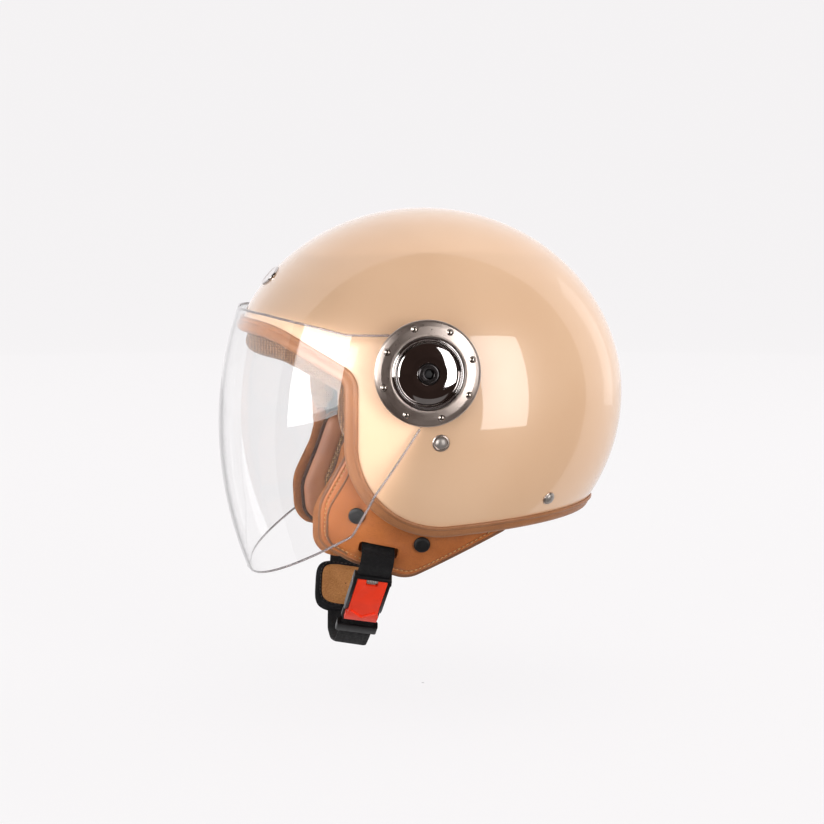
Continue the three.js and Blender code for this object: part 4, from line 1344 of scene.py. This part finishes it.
def make_keeper():
    a, b = KEEPER
    half = WEB_W / 2 + 3
    hole = half - 2.5
    outer = rounded_profile(rectangle(-3, 3, -half, half), 1.6, 6)
    inner = rounded_profile(rectangle(-1.25, 1.25, -hole, hole), 0.5, 4)

    def along_leg(n, w, s):
        return leg_point(s, n, w)

    bar = prism("keeper_bar", outer, along_leg, a, b, BLACK, "strap_loop", ["strap_keeper"])
    carve(bar, prism("cut_keeper", inner, along_leg, a - 1, b + 1, BLACK, "strap_loop"))
    soften_edges(bar, 0.5)


def pad_outline(k, count):
    t = np.linspace(0, 2 * math.pi, count, endpoint=False)
    c, s = np.cos(t), np.sin(t)
    p = 2 / 4.2
    return (CHIN_PAD["middle"] + k * CHIN_PAD["long"] * np.sign(c) * np.abs(c) ** p,
            k * CHIN_PAD["wide"] * np.sign(s) * np.abs(s) ** p)


def pad_row(k, n, count):
    s, w = pad_outline(k, count)
    n = np.broadcast_to(n, s.shape)
    return np.array([leg_point(a, c, b, -1) for a, b, c in zip(s, w, n)])


def make_chin_pad():
    count = 140
    rows = []
    for k in np.linspace(0.02, 0.80, 20):
        rows.append(pad_row(k, -6.2 + 1.9 * (k / 0.8) ** 3, count))
    for t in np.linspace(0, 1, 15)[1:]:
        a = t * math.pi
        rows.append(pad_row(0.8 + 0.2 * math.sin(a) ** 0.8 if t < 1 else 0.8,
                            -0.8 - 3.9 * math.cos(a), count))
    for k in np.linspace(0.76, 0.02, 12):
        rows.append(pad_row(k, 3.1, count))
    obj = piece("chin_cushion", np.concatenate(rows), grid_faces(len(rows), count, wrap_cols=True),
                CHIN_SUEDE, "chin_pad_body", ["chin_pad"])
    obj.data.materials.append(BLACK_BINDING)
    for i, p in enumerate(obj.data.polygons):
        p.material_index = 1 if i // count >= CHIN_SUEDE_ROWS else 0
    weld(obj)
    sleeve = []
    for s in (CHIN_PAD["middle"] - 30, CHIN_PAD["middle"] + 30):
        for n, w in ((-1.3, -11.7), (1.3, -11.7), (1.3, 11.7), (-1.3, 11.7)):
            sleeve.append(leg_point(s, n, w, -1))
    cutter = piece("cut_sleeve", np.array(sleeve),
                   grid_faces(2, 4, wrap_cols=True) + [(0, 1, 2, 3), (4, 5, 6, 7)], BLACK_BINDING,
                   "chin_pad_body")
    carve(obj, cutter)
    seam = pad_row(0.86, -5.05, count)
    seam = np.vstack([seam, seam[:1]])
    inward = leg_point(0, -1, 0, -1) - leg_point(0, 0, 0, -1)
    stitches("chin_seam", seam, "left", inward, 3.0, 0.3, DARK_THREAD, "chin_pad_body")


LINING = suede("lining_cloth", (132, 92, 66), (96, 66, 48))
EDGE_DARK = leather("flap_edging", (140, 92, 58), (112, 70, 42), 900, 0.5, 0.3)

make_visor()
make_lining()
make_crown_pad()
make_brow_pad()
make_neck_pad()
for side in ("left", "right"):
    make_cheek(side)
    make_flap(side)
    front_roll(side)
make_webbing()
make_housing()
make_pin_and_spring()
make_lever()
make_tongue()
make_keeper()
make_chin_pad()


# ---------- floor, light and camera ----------
def backdrop():
    """Floor that curves up into a wall, seen from any side."""
    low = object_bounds()[0][2] - 0.03
    rings = []
    n = 64
    for r, z in [(0.001, 0), (1.5, 0), (3.2, 0), (3.8, 0.08), (4.3, 0.35), (4.6, 0.9), (4.7, 2.2)]:
        a = np.linspace(0, 2 * math.pi, n, endpoint=False)
        rings.append(np.stack([r * np.cos(a), r * np.sin(a), np.full(n, low + z)], -1))
    mesh = bpy.data.meshes.new("studio_floor")
    mesh.from_pydata(np.concatenate(rings).tolist(), [], grid_faces(len(rings), n, wrap_cols=True))
    mesh.shade_smooth()
    obj = bpy.data.objects.new("studio_floor", mesh)
    bpy.context.collection.objects.link(obj)
    f = Finish("pale_floor", Specular_IOR_Level=0.1, Emission_Strength=0.9)
    f.bsdf.inputs["Emission Color"].default_value = srgb(250, 248, 249)
    f.color(srgb(80, 79, 79))
    f.rough(0.9)
    obj.data.materials.append(f.material)
    obj.visible_diffuse = False
    obj.visible_glossy = False


def reflection_card(name, first, last, color, glow):
    """Part of the room's wall that only reflections show, between two bearings in degrees."""
    a = np.linspace(math.radians(first), math.radians(last), 49)
    e = np.linspace(math.radians(-89), math.radians(89), 25)
    ga, ge = np.meshgrid(a, e, indexing="ij")
    p = 3.0 * np.stack([np.cos(ga) * np.cos(ge), np.sin(ga) * np.cos(ge), np.sin(ge)], -1)
    mesh = bpy.data.meshes.new(name)
    mesh.from_pydata(p.reshape(-1, 3).tolist(), [], grid_faces(49, 25))
    obj = bpy.data.objects.new(name, mesh)
    bpy.context.collection.objects.link(obj)
    f = Finish(name, Specular_IOR_Level=0.0, Emission_Strength=glow)
    f.bsdf.inputs["Emission Color"].default_value = srgb(*color)
    f.color(srgb(*color))
    f.rough(0.9)
    obj.data.materials.append(f.material)
    for kind in ("camera", "diffuse", "transmission", "shadow", "volume_scatter"):
        setattr(obj, f"visible_{kind}", False)


def softbox(name, location, target, size, shine, light):
    """A soft panel; `shine` is the power reflections see, `light` what lights the surfaces."""
    for part, power in (("shine", shine), ("light", light)):
        data = bpy.data.lights.new(f"{name}_{part}", "AREA")
        data.shape = "RECTANGLE"
        data.size, data.size_y = size
        data.energy = power
        obj = bpy.data.objects.new(f"{name}_{part}", data)
        obj.location = location
        obj.rotation_euler = (Vector(target) - Vector(location)).to_track_quat("-Z", "Y").to_euler()
        obj.visible_glossy = part == "shine"
        obj.visible_diffuse = part == "light"
        bpy.context.collection.objects.link(obj)


CAMERA_TARGET = Vector((0.0005, -0.00775, CENTRE_Z * MM - 0.0151))
CAMERA_AZIMUTH = math.radians(82)
CAMERA_HEIGHT = math.radians(6)
CAMERA_DISTANCE = 1.6
# What the picture spans at the camera's target.
VIEW_WIDTH = 570.208 * MM


def camera():
    data = bpy.data.cameras.new("camera")
    data.sensor_width = 36
    data.lens = 36 * CAMERA_DISTANCE / VIEW_WIDTH
    data.clip_end = 50
    obj = bpy.data.objects.new("camera", data)
    back = Vector((math.sin(CAMERA_AZIMUTH) * math.cos(CAMERA_HEIGHT),
                   -math.cos(CAMERA_AZIMUTH) * math.cos(CAMERA_HEIGHT), math.sin(CAMERA_HEIGHT)))
    obj.location = CAMERA_TARGET + back * CAMERA_DISTANCE
    obj.rotation_euler = (-back).to_track_quat("-Z", "Y").to_euler()
    bpy.context.collection.objects.link(obj)
    bpy.context.scene.camera = obj


def world():
    bpy.context.scene.view_settings.view_transform = "Standard"
    w = bpy.data.worlds.new("studio")
    w.use_nodes = True
    w.node_tree.nodes["Background"].inputs["Color"].default_value = (1.0, 0.99, 0.995, 1)
    w.node_tree.nodes["Background"].inputs["Strength"].default_value = 0.45
    bpy.context.scene.world = w


def lights():
    middle = (0, 0, CENTRE_Z * MM)
    softbox("key_left", (1.2, -1.62, 0.22), middle, (1.5, 1.2), 36, 15)
    softbox("key_right", (1.72, 0.98, 0.12), middle, (0.78, 1.4), 20, 27)
    softbox("top", (0.2, 0, 2.2), middle, (2.4, 2.4), 2, 26)
    softbox("rim_back", (-0.9, 1.9, 0.4), middle, (0.6, 1.6), 2, 14)
    softbox("low_fill", (1.4, 0.3, -1.5), middle, (1.4, 1.4), 1, 15)


world()
lights()
camera()
backdrop()
reflection_card("dark_card", -85, 85, (52, 40, 36), 0.6)
reflection_card("pale_card", 85, 275, (240, 238, 239), 0.5)
